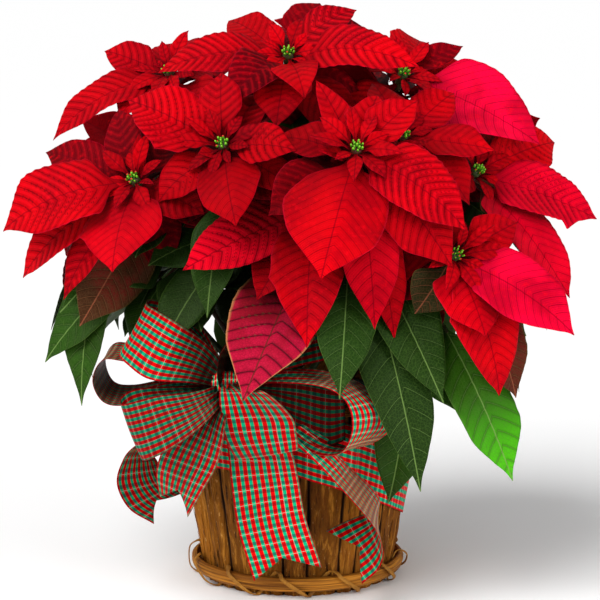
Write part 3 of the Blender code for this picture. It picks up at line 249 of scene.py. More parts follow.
# Bow: cross lines of each loop and tail from one end to the other: one edge on the sheet, the other
# edge, and the share of the remaining width that leans toward the viewer
BOW = {
    "loop_upper_left": (
        (226, 388, 126, 230, 378, -0.12), (190, 383, 142, 206, 346, -1), (150, 379, 144, 176, 324, -1),
        (127, 364, 132, 156, 312, -1), (120, 355, 114, 144, 304, -1), (130, 347, 98, 154, 300, -1),
        (172, 352, 96, 192, 318, -1), (226, 386, 116, 230, 376, -0.12)),
    "loop_far_left": (
        (226, 386, 118, 230, 378, -0.12), (168, 366, 120, 172, 352, -0.7), (126, 362, 116, 132, 347, -1),
        (103, 361, 108, 110, 345, -1), (93, 381, 102, 100, 362, -1), (103, 402, 104, 108, 384, -1),
        (126, 406, 112, 130, 388, -1), (170, 396, 116, 172, 380, -0.6), (226, 390, 116, 230, 382, -0.12)),
    "loop_lower_left": (
        (226, 384, 126, 230, 394, 0.12), (190, 393, 140, 208, 420, 1), (160, 396, 142, 182, 441, 1),
        (138, 401, 138, 158, 454, 1), (121, 404, 124, 145, 457, 1), (123, 396, 108, 146, 446, 1),
        (146, 388, 100, 164, 434, 1), (226, 384, 116, 230, 394, 0.12)),
    "tail_front_left": (
        (226, 386, 124, 232, 394, 0.12), (200, 402, 132, 227, 420, 0.8), (180, 425, 134, 224, 442, 1),
        (164, 448, 132, 218, 464, 1), (157, 472, 122, 206, 486, 1), (160, 497, 108, 191, 511, 1)),
    "tail_far_left": (
        (228, 386, 114, 232, 394, -0.12), (202, 404, 110, 212, 414, -0.2), (176, 421, 104, 192, 434, -0.5),
        (134, 447, 98, 150, 452, -0.9), (121, 466, 98, 154, 466, -1), (118, 486, 94, 162, 482, -1),
        (130, 509, 86, 172, 491, -1), (154, 524, 76, 182, 497, -1)),
    "loop_centre": (
        (222, 386, 128, 238, 386, 0.12), (220, 393, 152, 268, 391, 1), (221, 418, 160, 292, 415, 1),
        (226, 440, 152, 297, 434, 1), (237, 460, 132, 298, 448, 1), (236, 448, 114, 294, 438, 1),
        (228, 412, 114, 270, 406, 0.9), (222, 388, 118, 238, 386, 0.12)),
    "tail_front_centre": (
        (222, 388, 114, 238, 386, 0.12), (224, 424, 116, 280, 418, 0.6), (228, 452, 108, 293, 452, 1),
        (232, 488, 100, 299, 478, 1), (239, 532, 88, 306, 517, 1), (254, 581, 76, 322, 566, 1)),
    "loop_small_centre": (
        (224, 392, 130, 236, 391, -0.12), (217, 374, 146, 232, 373, -0.9),
        (222, 350, 150, 240, 352, -0.95), (238, 336, 148, 252, 344, -0.95),
        (254, 354, 144, 260, 362, -0.9), (236, 386, 124, 242, 388, -0.12)),
    "loop_upper_right": (
        (230, 388, 124, 234, 378, -0.12), (262, 380, 136, 262, 344, -1), (290, 369, 138, 286, 318, -1),
        (322, 361, 132, 314, 304, -1), (338, 357, 116, 332, 302, -1), (334, 355, 98, 330, 302, -1),
        (296, 364, 94, 294, 316, -1), (232, 388, 116, 236, 378, -0.12)),
    "loop_right": (
        (230, 386, 130, 236, 380, -0.12), (278, 384, 156, 292, 370, -0.6), (320, 386, 160, 340, 376, -1),
        (343, 397, 158, 372, 391, -1), (352, 416, 152, 399, 412, -1), (350, 438, 146, 393, 434, -1),
        (336, 454, 142, 362, 450, -0.9), (302, 446, 140, 322, 438, -0.3), (232, 390, 124, 238, 384, -0.12)),
    "loop_right_back": (
        (232, 394, 124, 234, 382, -0.12), (262, 412, 126, 264, 378, 0.3), (296, 434, 124, 298, 376, 0.5),
        (326, 446, 122, 326, 380, 0.5), (346, 440, 120, 344, 384, 0.5)),
    "tail_right": (
        (230, 390, 126, 238, 384, -0.12), (284, 434, 138, 300, 424, -0.3),
        (318, 464, 146, 334, 452, -0.55), (340, 487, 140, 354, 474, -0.9), (359, 509, 128, 374, 494, -1),
        (375, 530, 118, 382, 508, -1), (383, 552, 106, 374, 516, -1), (378, 570, 96, 350, 524, -0.9),
        (362, 584, 90, 326, 533, -0.6)),
}
# Painted shade over each whole strip of the bow, from 0 to 1
SHADED = {
    "loop_upper_left": 0.28, "loop_far_left": 0.50, "loop_lower_left": 0.58, "tail_front_left": 0.30,
    "tail_far_left": 0.52, "loop_centre": 0.30, "loop_small_centre": 0.40, "loop_upper_right": 0.62,
    "loop_right": 0.0, "loop_right_back": 0.88, "tail_right": 0.10,
}
TAILS_NOTCHED = ("tail_front_left", "tail_far_left", "tail_front_centre", "tail_right")

RIGHT = Vector((1, 0, 0))
UP = Vector((0, math.sin(EYE_TILT), math.cos(EYE_TILT)))
TOWARD = Vector((0, -math.cos(EYE_TILT), math.sin(EYE_TILT)))
SHEET_CENTRE = Vector((0, 0, EYE_HIGH))
EYE = SHEET_CENTRE + TOWARD * EYE_FAR


def seen(place):
    """A place on the layout sheet as a point in space."""
    column, row, near = place
    grow = 1.0 - near * MM / EYE_FAR
    return (SHEET_CENTRE + RIGHT * (column - SHEET_AXIS) * SQUARE * grow
            + UP * (SHEET_MID - row) * SQUARE * grow + TOWARD * near * MM)


class Nodes:
    """Short calls for the nodes of one tree."""

    def node(self, kind, inputs=None, **settings):
        made = self.tree.nodes.new(kind)
        for key, value in settings.items():
            setattr(made, key, value)
        for key, value in (inputs or {}).items():
            self.join(value, made.inputs[key])
        return made

    def join(self, value, socket):
        if hasattr(value, "is_output"):
            self.tree.links.new(value, socket)
        elif socket.type == "RGBA" and len(value) == 3:
            socket.default_value = (*value, 1.0)
        else:
            socket.default_value = value


# Materials
class Finish(Nodes):
    """A material, its pattern built up from masks and colours."""

    def __init__(self, name, roughness, **sockets):
        self.mat = bpy.data.materials.new(name)
        self.mat.use_nodes = True
        self.tree = self.mat.node_tree
        self.shader = self.tree.nodes["Principled BSDF"]
        for socket, value in {"Roughness": roughness, **sockets}.items():
            self.join(value, self.shader.inputs[socket.replace("_", " ")])

    def math(self, operation, a, b=0.0):
        return self.node("ShaderNodeMath", {0: a, 1: b}, operation=operation).outputs[0]

    def mix(self, share, a, b):
        return self.node("ShaderNodeMix", {0: share, 6: a, 7: b}, data_type="RGBA").outputs[2]

    def part(self, mask, share):
        return self.math("MULTIPLY", mask, share)

    def total(self, *parts):
        """The sum of values, each with its weight."""
        whole, *others = [self.part(value, weight) for value, weight in parts]
        for more in others:
            whole = self.math("ADD", whole, more)
        return whole

    def coats(self, base, *coats):
        """Colours laid over one another, each as far as its mask says."""
        for mask, colour in coats:
            base = self.mix(mask, base, colour)
        return base

    def step(self, value, low, high, start=0.0, end=1.0):
        """Goes smoothly from start to end as value goes from low to high."""
        inputs = dict(enumerate((value, low, high, start, end)))
        return self.node("ShaderNodeMapRange", inputs, interpolation_type="SMOOTHSTEP").outputs[0]

    def edge(self, across, low, share):
        """A mask along the margins of a strip that runs from -1 to 1 across."""
        return self.step(self.math("ABSOLUTE", across), low, 1.0, 0.0, share)

    def place(self):
        return self.node("ShaderNodeTexCoord").outputs["Object"]

    def stretch(self, source, scale, shift=(0.0, 0.0, 0.0)):
        inputs = {"Vector": source, "Location": shift, "Scale": scale}
        return self.node("ShaderNodeMapping", inputs).outputs[0]

    def noise(self, source, scale, detail=3.0, rough=0.5):
        inputs = {"Vector": source, "Scale": scale, "Detail": detail, "Roughness": rough}
        return self.node("ShaderNodeTexNoise", inputs).outputs["Fac"]

    def net(self, source, scale):
        """Distance to the nearest line of an uneven net."""
        inputs = {"Vector": source, "Scale": scale}
        return self.node("ShaderNodeTexVoronoi", inputs, feature="DISTANCE_TO_EDGE").outputs["Distance"]

    def measure(self, name):
        """The x, y and z of one of the mesh's own attributes, and all three together."""
        read = self.node("ShaderNodeAttribute", attribute_name=name).outputs["Vector"]
        return *self.node("ShaderNodeSeparateXYZ", {0: read}).outputs, read

    def number(self, name):
        return self.node("ShaderNodeAttribute", attribute_name=name).outputs["Fac"]

    def depth(self, deep):
        """A mask of painted shade that is strongest far inside the crown of the plant, and 0 at its outside.
        """
        scale = (1 / CROWN_WIDE, 1 / CROWN_DEEP, 1 / CROWN_DEEP)
        where = self.stretch(self.place(), scale, (0.0, 0.0, -CROWN_MID_Z / CROWN_DEEP))
        far = self.node("ShaderNodeVectorMath", {0: where}, operation="LENGTH").outputs["Value"]
        return self.step(far, 0.30, 0.86, deep, 0.0)

    def relief(self, height, deep, strength):
        bump = self.node("ShaderNodeBump", {"Distance": deep, "Strength": strength, "Height": height})
        self.join(bump.outputs[0], self.shader.inputs["Normal"])

    def colour(self, value):
        self.join(value, self.shader.inputs["Base Color"])
        return self.mat


def ribs(f, vein):
    """Measures of a blade, masks of its veins, and masks of painted shade in the grooves and painted
    highlight on the crests between side veins.
    """
    along, across, phase, _ = f.measure("blade")
    tone, marked, middle, _ = f.measure("tint")
    under = f.step(marked, 0.5, 0.9)
    crimp = f.math("MULTIPLY", marked, f.math("SUBTRACT", 10.0, f.part(under, 10.0)))
    beat = f.math("PINGPONG", phase, 0.5)
    return SimpleNamespace(
        along=along, across=across, tone=tone, under=under,
        side=f.step(beat, 0.004, vein, 1.0, 0.0),
        thin=f.step(f.math("PINGPONG", f.part(phase, 4.0), 0.5), 0.02, 0.16, 1.0, 0.0),
        rib=f.step(middle, 0.2, 0.8, 1.0, 0.0),
        groove_shade=f.math("MULTIPLY", f.step(beat, 0.0, 0.26, 1.0, 0.0), crimp),
        crest_highlight=f.math("MULTIPLY", f.step(beat, 0.24, 0.5), crimp))


def bract_finish():
    """Dark maroon, scarlet or rose by the blade's tone, with fine darker veins, painted shade in the grooves,
    toward the heart and deep in the crown, and painted highlights on the crests and along the margin.
    """
    f = Finish("red bract", 0.55, Specular_IOR_Level=0.07, Specular_Tint=(1.0, 0.20, 0.24, 1.0))
    blade = ribs(f, 0.050)
    where = f.place()
    fine = f.net(where, 560.0)
    # Painted shade in the grooves between side veins, laid in patches
    fold = f.math("MULTIPLY", blade.groove_shade, f.step(f.noise(where, 75.0, 3.0), 0.36, 0.62))
    f.relief(f.total((fine, 0.5), (blade.side, -0.9), (blade.thin, -0.45)), 0.0005, 0.6)
    return f.colour(f.coats(
        f.mix(f.step(blade.tone, 0.0, 0.5), (0.055, 0.0, 0.0015), (0.54, 0.0002, 0.0030)),
        # Rose for tones 0.55 to 1: partly the bract's own colour, partly a painted sheen of grazing light on
        # tilted bracts
        (f.step(blade.tone, 0.55, 1.0), (0.86, 0.0008, 0.040)),
        # Tones above 1.2 give the brightest scarlet: painted light for a bract that lies in shade
        (f.step(blade.tone, 1.2, 2.0), (0.98, 0.0010, 0.006)),
        (f.step(f.noise(where, 26.0, 3.0), 0.36, 0.66, 0.0, 0.58), (0.20, 0.0, 0.004)),
        (f.step(f.noise(where, 190.0, 4.0, 0.6), 0.50, 0.74, 0.0, 0.36), (0.86, 0.0008, 0.007)),
        # Painted shade in the grooves
        (f.part(fold, 0.32), (0.060, 0.0, 0.002)),
        # Painted highlight on the crests
        (f.part(blade.crest_highlight, 0.20), (0.92, 0.002, 0.012)),
        (f.part(blade.thin, 0.22), (0.17, 0.0, 0.004)),
        (f.part(blade.side, 0.52), (0.075, 0.0, 0.003)),
        (f.part(blade.rib, 0.62), (0.12, 0.0, 0.004)),
        # Darker toward the heart: partly the bract's own deeper colour, partly painted shade near the heart
        (f.step(blade.along, 0.0, 0.42, 0.72, 0.0), (0.085, 0.0, 0.002)),
        # Paler pink along the margin: a painted rim highlight
        (f.edge(blade.across, 0.955, 0.32), (0.72, 0.008, 0.040)),
        (f.part(blade.under, 0.66), (0.12, 0.0005, 0.003)),
        # Painted shade deep inside the crown
        (f.depth(0.90), (0.022, 0.0, 0.0008))))


def turning_finish():
    """Leaves between green and red: the tone goes from dark olive through brick to rose, with painted shade
    in the grooves and deep in the crown.
    """
    f = Finish("turning leaf", 0.55, Specular_IOR_Level=0.10, Specular_Tint=(1.0, 0.55, 0.50, 1.0))
    blade = ribs(f, 0.085)
    where = f.place()
    fine = f.net(where, 400.0)
    rose = f.step(blade.tone, 0.5, 1.0)
    warm = f.math("MULTIPLY", f.step(f.noise(where, 36.0, 4.0), 0.40, 0.60, 0.0, 0.85),
                  f.step(blade.along, 1.0, 0.35))
    f.relief(f.total((fine, 0.6), (blade.side, -1.0)), 0.0006, 0.8)
    return f.colour(f.coats(
        f.mix(f.step(blade.tone, 0.0, 0.5), (0.016, 0.020, 0.005), (0.105, 0.010, 0.006)),
        (rose, (0.46, 0.006, 0.036)),
        (f.math("MULTIPLY", warm, f.step(blade.tone, 0.02, 0.2)), (0.22, 0.003, 0.008)),
        (f.step(fine, 0.02, 0.13, 0.55, 0.0), f.mix(rose, (0.085, 0.040, 0.014), (0.20, 0.002, 0.014))),
        # Painted shade in the grooves
        (f.part(blade.groove_shade, 0.45), f.mix(rose, (0.010, 0.010, 0.003), (0.085, 0.001, 0.008))),
        (f.part(blade.side, 0.80), f.mix(rose, (0.15, 0.055, 0.022), (0.050, 0.002, 0.006))),
        (f.part(blade.rib, 0.85), f.mix(rose, (0.26, 0.075, 0.035), (0.085, 0.018, 0.010))),
        (f.edge(blade.across, 0.93, 0.75), f.mix(rose, (0.10, 0.075, 0.02), (0.52, 0.25, 0.085))),
        (f.part(blade.under, 0.6), (0.09, 0.05, 0.022)),
        # Painted shade deep inside the crown
        (f.depth(0.8), (0.012, 0.004, 0.001))))


def leaf_finish():
    """Deep green, a little glossy, with pale thin veins and a fine net between them, and painted shade in the
    grooves and deep in the crown.
    """
    f = Finish("green leaf", 0.50, Specular_IOR_Level=0.12, Specular_Tint=(0.78, 1.0, 0.55, 1.0))
    blade = ribs(f, 0.026)
    where = f.place()
    fine = f.net(where, 380.0)
    bright = f.math("MULTIPLY", f.step(blade.tone, 0.80, 1.0), f.step(blade.along, 0.50, 1.0))
    f.relief(f.total((fine, 0.6), (blade.side, -0.8)), 0.0005, 0.8)
    return f.colour(f.coats(
        f.mix(blade.tone, (0.006, 0.019, 0.0018), (0.022, 0.083, 0.003)),
        (f.step(f.noise(where, 30.0, 4.0), 0.38, 0.68, 0.0, 0.6), (0.011, 0.028, 0.003)),
        (bright, (0.060, 0.42, 0.003)),
        # Painted shade in the grooves
        (f.part(blade.groove_shade, 0.45), (0.003, 0.010, 0.001)),
        (f.step(fine, 0.015, 0.075, 0.34, 0.0), (0.055, 0.115, 0.018)),
        (f.part(blade.thin, 0.10), (0.060, 0.120, 0.020)),
        (f.part(blade.side, 0.66), (0.115, 0.200, 0.048)),
        (f.part(blade.rib, 0.70), (0.150, 0.250, 0.060)),
        (f.edge(blade.across, 0.965, 0.5), (0.09, 0.17, 0.03)),
        (f.part(blade.under, 0.65), (0.036, 0.072, 0.016)),
        # Painted shade deep inside the crown
        (f.depth(0.88), (0.0022, 0.0050, 0.0008))))


def stem_finish():
    f = Finish("green stem", 0.5, Specular_IOR_Level=0.3)
    where = f.place()
    streaks = f.noise(f.stretch(where, (1.0, 1.0, 0.12)), 260.0, 3.0)
    f.relief(streaks, 0.0004, 0.5)
    return f.colour(f.coats(
        f.mix(streaks, (0.022, 0.050, 0.012), (0.060, 0.105, 0.026)),
        (f.step(f.noise(where, 14.0), 0.42, 0.66, 0.0, 0.8), (0.12, 0.012, 0.010)),
        # Painted shade deep inside the crown
        (f.depth(0.8), (0.010, 0.008, 0.003))))


def grained_finish(name, roughness, stretch, scale, detail, dark, pale, deep, strength):
    """One grain, which both colours and dents the surface."""
    f = Finish(name, roughness)
    grain = f.noise(f.stretch(f.place(), stretch), scale, detail)
    f.relief(grain, deep, strength)
    return f.colour(f.mix(grain, dark, pale))


def bark_finish():
    """Rough brown bark: long cracks, paler worn ridges, red-brown patches."""
    f = Finish("bark slats", 0.75, Specular_IOR_Level=0.10)
    _, across, tone, _ = f.measure("grain")
    where = f.place()
    cracks = f.noise(f.stretch(where, (1.0, 1.0, 0.085)), 210.0, 7.0, 0.68)
    broad = f.noise(f.stretch(where, (1.0, 1.0, 0.28)), 36.0, 4.0)
    chips = f.noise(f.stretch(where, (1.0, 1.0, 0.35)), 420.0, 3.0, 0.6)
    f.relief(f.total((cracks, 1.2), (chips, 0.3)), 0.0035, 1.0)
    return f.colour(f.coats(
        f.mix(tone, (0.120, 0.036, 0.002), (0.380, 0.130, 0.010)),
        (f.step(broad, 0.44, 0.66, 0.0, 0.6), (0.150, 0.042, 0.007)),
        (f.step(cracks, 0.50, 0.70, 0.0, 0.85), (0.62, 0.25, 0.028)),
        (f.step(chips, 0.62, 0.78, 0.0, 0.7), (0.80, 0.44, 0.13)),
        (f.step(cracks, 0.34, 0.45, 0.95, 0.0), (0.014, 0.006, 0.003)),
        (f.edge(across, 0.84, 0.95), (0.008, 0.004, 0.003))))


def hoop_finish():
    """Peeled stick: golden brown with long dark grain and knots."""
    f = Finish("hoop wood", 0.6, Specular_IOR_Level=0.12)
    lay = f.measure("run")[3]
    grain = f.noise(f.stretch(lay, (14.0, 620.0, 1.0)), 1.0, 5.0, 0.6)
    broad = f.noise(f.stretch(lay, (9.0, 90.0, 1.0)), 1.0, 3.0)
    f.relief(f.math("ADD", grain, broad), 0.0012, 0.8)
    return f.colour(f.coats(
        f.mix(f.step(grain, 0.3, 0.7), (0.080, 0.022, 0.002), (0.60, 0.230, 0.022)),
        (f.step(broad, 0.48, 0.68, 0.0, 0.7), (0.20, 0.060, 0.004)),
        (f.step(grain, 0.22, 0.36, 0.8, 0.0), (0.030, 0.011, 0.005))))


def cane_finish():
    f = Finish("split cane", 0.55, Specular_IOR_Level=0.12)
    where = f.place()
    grain = f.noise(where, 420.0, 4.0)
    f.relief(grain, 0.0003, 0.6)
    return f.colour(f.coats(
        f.mix(grain, (0.15, 0.048, 0.004), (0.56, 0.250, 0.034)),
        (f.step(f.noise(where, 46.0, 3.0), 0.46, 0.66, 0.0, 0.6), (0.13, 0.050, 0.014))))


def soil_finish():
    f = Finish("potting soil", 0.95, Specular_IOR_Level=0.2)
    lumps = f.noise(f.place(), 240.0, 6.0, 0.7)
    f.relief(lumps, 0.002, 1.0)
    return f.colour(f.coats(
        f.mix(lumps, (0.010, 0.006, 0.004), (0.085, 0.052, 0.032)),
        (f.step(f.number("pale"), 0.955, 0.96, 0.0, 0.9), (0.62, 0.60, 0.54))))


def bead_finish():
    """Green cups that grow paler upward, some with a red gland."""
    f = Finish("cyathia", 0.36, Specular_IOR_Level=0.4)
    up = f.measure("bead")[0]
    f.relief(f.noise(f.place(), 900.0), 0.0003, 0.5)
    return f.colour(f.coats(
        f.mix(f.step(up, 0.1, 0.7), (0.020, 0.095, 0.003), (0.085, 0.36, 0.010)),
        (f.step(up, 0.66, 0.86), (0.20, 0.52, 0.020)),
        (f.math("MULTIPLY", f.number("red"), f.step(up, 0.74, 0.90)), (0.62, 0.030, 0.012))))


def ribbon_finish():
    """Taffeta plaid: red and green stripes along, darker bands and white pins across, and painted shade near
    the knot and inside the loops.
    """
    f = Finish("plaid ribbon", 0.45, Specular_IOR_Level=0.05, Specular_Tint=(1.0, 0.6, 0.5, 1.0))
    across, along, painted_shade, lay = f.measure("cloth")

    def stripe(value, pitch):
        return f.step(f.math("PINGPONG", f.math("DIVIDE", value, pitch / 2), 1.0), 0.47, 0.60)

    def line(value, middle, low, high, share):
        return f.step(f.math("ABSOLUTE", f.math("SUBTRACT", value, middle)), low, high, share, 0.0)

    lengthwise = stripe(across, PLAID_WIDE)
    clear = f.mix(lengthwise, (0.90, 0.0, 0.002), (0.0, 0.52, 0.23))
    dull = f.mix(lengthwise, (0.44, 0.0, 0.003), (0.012, 0.120, 0.105))
    pin = line(f.math("FRACT", f.math("DIVIDE", along, PLAID_LONG * 2)), 0.5, 0.004, 0.019, 0.78)
    long_pin = line(across, PLAID_WIDE * 6.25, 0.00008, 0.0003, 0.55)
    rim = f.math("MINIMUM", across, f.math("SUBTRACT", RIBBON_WIDE, across))
    weave = [f.math("SINE", f.part(value, TURN / THREAD)) for value in (across, along)]
    fibre = f.noise(f.stretch(lay, (2600.0, 420.0, 1.0)), 1.0, 2.0)
    f.relief(f.total((fibre, 1.0), (f.math("MULTIPLY", *weave), 0.5)), 0.00016, 0.6)
    return f.colour(f.coats(
        f.mix(f.part(stripe(along, PLAID_LONG), 0.80), clear, dull),
        (f.math("MAXIMUM", pin, long_pin), (0.78, 0.78, 0.66)),
        (f.step(rim, 0.0004, 0.0010, 0.8, 0.0), (0.50, 0.0, 0.006)),
        (f.step(fibre, 0.3, 0.8, 0.0, 0.22), (0.012, 0.008, 0.008)),
        # Painted shade near the knot, over whole strips and inside the loops
        (f.part(painted_shade, 0.98), (0.0, 0.0, 0.0))))


# Meshes
def shown(name, data):
    """A new object, placed in the scene."""
    obj = bpy.data.objects.new(name, data)
    bpy.context.scene.collection.objects.link(obj)
    return obj


def stacked(*parts):
    """Arrays spread over one grid and laid together as its last axis."""
    return np.stack(np.broadcast_arrays(*parts), axis=-1)


def skin(verts, quads, measures, mat, name, smooth=True):
    """An object from arrays of points and faces, with named measures at each point."""
    mesh = bpy.data.meshes.new(name)
    count, wide = len(quads), quads.shape[1]
    mesh.vertices.add(len(verts))
    mesh.vertices.foreach_set("co", np.ascontiguousarray(verts, dtype=np.float32).ravel())
    mesh.loops.add(count * wide)
    mesh.loops.foreach_set("vertex_index", quads.astype(np.int32).ravel())
    mesh.polygons.add(count)
    mesh.polygons.foreach_set("loop_start", np.arange(count, dtype=np.int32) * wide)
    mesh.polygons.foreach_set("use_smooth", np.full(count, smooth, dtype=bool))
    mesh.update(calc_edges=True)
    for key, values in measures.items():
        layer = mesh.attributes.new(key, "FLOAT_VECTOR", "POINT")
        layer.data.foreach_set("vector", np.ascontiguousarray(values, dtype=np.float32).ravel())
    mesh.materials.append(mat)
    mesh.validate()
    return shown(name, mesh)


class Bundle:
    """Grids gathered into one piece."""

    def __init__(self):
        self.verts, self.quads, self.measures, self.count = [], [], {}, 0

    def add(self, verts, quads, **measures):
        self.verts.append(verts)
        self.quads.append(quads + self.count)
        self.count += len(verts)
        for key, values in measures.items():
            self.measures.setdefault(key, []).append(values)

    def piece(self, name, mat):
        measures = {key: np.concatenate(rows) for key, rows in self.measures.items()}
        return skin(np.concatenate(self.verts), np.concatenate(self.quads), measures, mat, name)


def finish_piece(obj, slot, *nodes):
    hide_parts(*nodes)
    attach(obj, "root")


# Repeats and runs, made by geometry nodes
class Growth(Nodes):
    """A geometry node tree with named inputs for its sizes."""

    def __init__(self, name):
        self.tree = bpy.data.node_groups.new(name, "GeometryNodeTree")
        for way in ("INPUT", "OUTPUT"):
            self.tree.interface.new_socket("Geometry", in_out=way, socket_type="NodeSocketGeometry")
        self.start = self.node("NodeGroupInput")
        self.end = self.node("NodeGroupOutput")
        self.keys = {}

    def size(self, name, value, kind="NodeSocketFloat"):
        made = self.tree.interface.new_socket(name, in_out="INPUT", socket_type=kind)
        made.default_value = value
        self.keys[name] = made.identifier
        return self.start.outputs[name]

    def named(self, name, kind="FLOAT"):
        read = self.node("GeometryNodeInputNamedAttribute", {"Name": name}, data_type=kind)
        return read.outputs["Attribute"]

    def chance(self, low, high, seed, kind="FLOAT"):
        """A random number between two for each item, or a random vector."""
        first = 0 if kind == "FLOAT_VECTOR" else 2
        inputs = {first: low, first + 1: high, "Seed": seed}
        return self.node("FunctionNodeRandomValue", inputs, data_type=kind).outputs[first // 2]

    def close(self, geometry, mat, smooth=True):
        whole = self.node("GeometryNodeRealizeInstances", {"Geometry": geometry})
        shaded = self.node("GeometryNodeSetShadeSmooth",
                           {"Geometry": whole.outputs[0], "Shade Smooth": smooth})
        dressed = self.node("GeometryNodeSetMaterial", {"Geometry": shaded.outputs[0], "Material": mat})
        self.join(dressed.outputs[0], self.end.inputs[0])
        return self


def grown(obj, growth, **sizes):
    """Runs a tree on an object and leaves a plain mesh."""
    step = obj.modifiers.new("growth", "NODES")
    step.node_group = growth.tree
    for name, value in sizes.items():
        step[growth.keys[name.replace("_", " ")]] = value
    depsgraph = bpy.context.evaluated_depsgraph_get()
    mesh = bpy.data.meshes.new_from_object(obj.evaluated_get(depsgraph))
    obj.modifiers.remove(step)
    obj.data = mesh
    return obj


def lines_object(name, lines, measures, closed=False):
    """An object of loose polylines, with named measures at each point."""
    verts, edges = [], []
    for line in lines:
        first = len(verts)
        verts += [tuple(p) for p in line]
        edges += [(i, i + 1) for i in range(first, len(verts) - 1)]
        if closed:
            edges.append((len(verts) - 1, first))
    mesh = bpy.data.meshes.new(name)
    mesh.from_pydata(verts, edges, [])
    for key, values in measures.items():
        kind, field = ("FLOAT_VECTOR", "vector") if np.ndim(values) == 2 else ("FLOAT", "value")
        layer = mesh.attributes.new(key, kind, "POINT")
        layer.data.foreach_set(field, np.ascontiguousarray(values, dtype=np.float32).ravel())
    return shown(name, mesh)


def stalk_growth(mat):
    """Round stalks along polylines, their radius read from the points."""
    g = Growth("round stalks")
    sides = g.size("Sides", 10, "NodeSocketInt")
    curve = g.node("GeometryNodeMeshToCurve", {"Mesh": g.start.outputs[0]})
    ring = g.node("GeometryNodeCurvePrimitiveCircle", {"Resolution": sides, "Radius": 1.0})
    skin_node = g.node("GeometryNodeCurveToMesh", {
        "Curve": curve.outputs[0], "Profile Curve": ring.outputs[0], "Scale": g.named("thick"),
        "Fill Caps": True})
    return g.close(skin_node.outputs[0], mat)


def cane_growth(mat):
    """A flat strip of split cane along a line, its broad face turned as the points say."""
    g = Growth("flat cane")
    wide, thick = g.size("Wide", 1.8 * MM), g.size("Thick", 0.62 * MM)
    curve = g.node("GeometryNodeMeshToCurve", {"Mesh": g.start.outputs[0]})
    curve = g.node("GeometryNodeSetCurveNormal", {"Curve": curve.outputs[0], "Normal": g.named(
        "facing", "FLOAT_VECTOR")}, mode="FREE")
    ring = g.node("GeometryNodeCurvePrimitiveCircle", {"Resolution": 10, "Radius": 1.0})
    scale = g.node("ShaderNodeCombineXYZ", {"X": thick, "Y": wide, "Z": 1.0})
    flat = g.node("GeometryNodeTransform", {"Geometry": ring.outputs[0], "Scale": scale.outputs[0]})
    skin_node = g.node("GeometryNodeCurveToMesh", {
        "Curve": curve.outputs[0], "Profile Curve": flat.outputs[0], "Fill Caps": False})
    return g.close(skin_node.outputs[0], mat)


def bead_growth(mat, bead):
    """One bead on each point, turned to the point's axis and sized by the point."""
    g = Growth("cyathia beads")
    item = g.node("GeometryNodeObjectInfo", {"Object": bead})
    turn = g.node("FunctionNodeAlignRotationToVector", {"Vector": g.named("axis", "FLOAT_VECTOR")}, axis="Z")
    placed = g.node("GeometryNodeInstanceOnPoints", {
        "Points": g.start.outputs[0], "Instance": item.outputs["Geometry"], "Rotation": turn.outputs[0],
        "Scale": g.named("size", "FLOAT_VECTOR")})
    return g.close(placed.outputs[0], mat)


def crumb_growth(mat):
    """Crumbs of soil and a few pale grains strewn over an upward surface."""
    g = Growth("soil crumbs")
    crowd, seed = g.size("Crumbs per m2", 30000.0), g.size("Seed", 4, "NodeSocketInt")
    small, big = g.size("Smallest", 0.6 * MM), g.size("Biggest", 2.4 * MM)
    up = g.node("ShaderNodeSeparateXYZ", {"Vector": g.node("GeometryNodeInputNormal").outputs[0]})
    facing = g.node("ShaderNodeMath", {0: up.outputs[2], 1: 0.6}, operation="GREATER_THAN")
    spots = g.node("GeometryNodeDistributePointsOnFaces", {
        "Mesh": g.start.outputs[0], "Selection": facing.outputs[0], "Density": crowd, "Seed": seed})
    grain = g.node("GeometryNodeMeshIcoSphere", {"Radius": 1.0, "Subdivisions": 1})
    placed = g.node("GeometryNodeInstanceOnPoints", {
        "Points": spots.outputs[0], "Instance": grain.outputs[0],
        "Rotation": g.chance((0.0, 0.0, 0.0), (6.28, 6.28, 6.28), seed, "FLOAT_VECTOR"),
        "Scale": g.chance(small, big, seed)})
    pale = g.node("GeometryNodeStoreNamedAttribute", {
        "Geometry": placed.outputs[0], "Name": "pale", "Value": g.chance(0.0, 1.0, 9)},
        data_type="FLOAT", domain="INSTANCE")
    return g.close(pale.outputs[0], mat, False)


def splinter_growth(mat, sliver):
    """Raised fibres of bark laid upright over the slats."""
    g = Growth("bark fibres")
    crowd, seed = g.size("Fibres per m2", 9000.0), g.size("Seed", 2, "NodeSocketInt")
    item = g.node("GeometryNodeObjectInfo", {"Object": sliver})
    where = g.node("ShaderNodeSeparateXYZ", {"Vector": g.named("grain", "FLOAT_VECTOR")})
    inner = g.node("ShaderNodeMath", {0: where.outputs[1]}, operation="ABSOLUTE")
    keep = g.node("ShaderNodeMath", {0: inner.outputs[0], 1: 0.82}, operation="LESS_THAN")
    spots = g.node("GeometryNodeDistributePointsOnFaces", {
        "Mesh": g.start.outputs[0], "Selection": keep.outputs[0], "Density": crowd, "Seed": seed})
    turn = g.node("FunctionNodeAlignRotationToVector", {"Vector": spots.outputs["Normal"]}, axis="X")
    turn = g.node("FunctionNodeAlignRotationToVector", {
        "Rotation": turn.outputs[0], "Vector": (0.0, 0.0, 1.0)}, axis="Z", pivot_axis="X")
    placed = g.node("GeometryNodeInstanceOnPoints", {
        "Points": spots.outputs[0], "Instance": item.outputs["Geometry"], "Rotation": turn.outputs[0],
        "Scale": g.chance((0.5, 0.45, 0.35), (1.15, 1.5, 1.7), seed, "FLOAT_VECTOR")})
    return g.close(placed.outputs[0], mat)


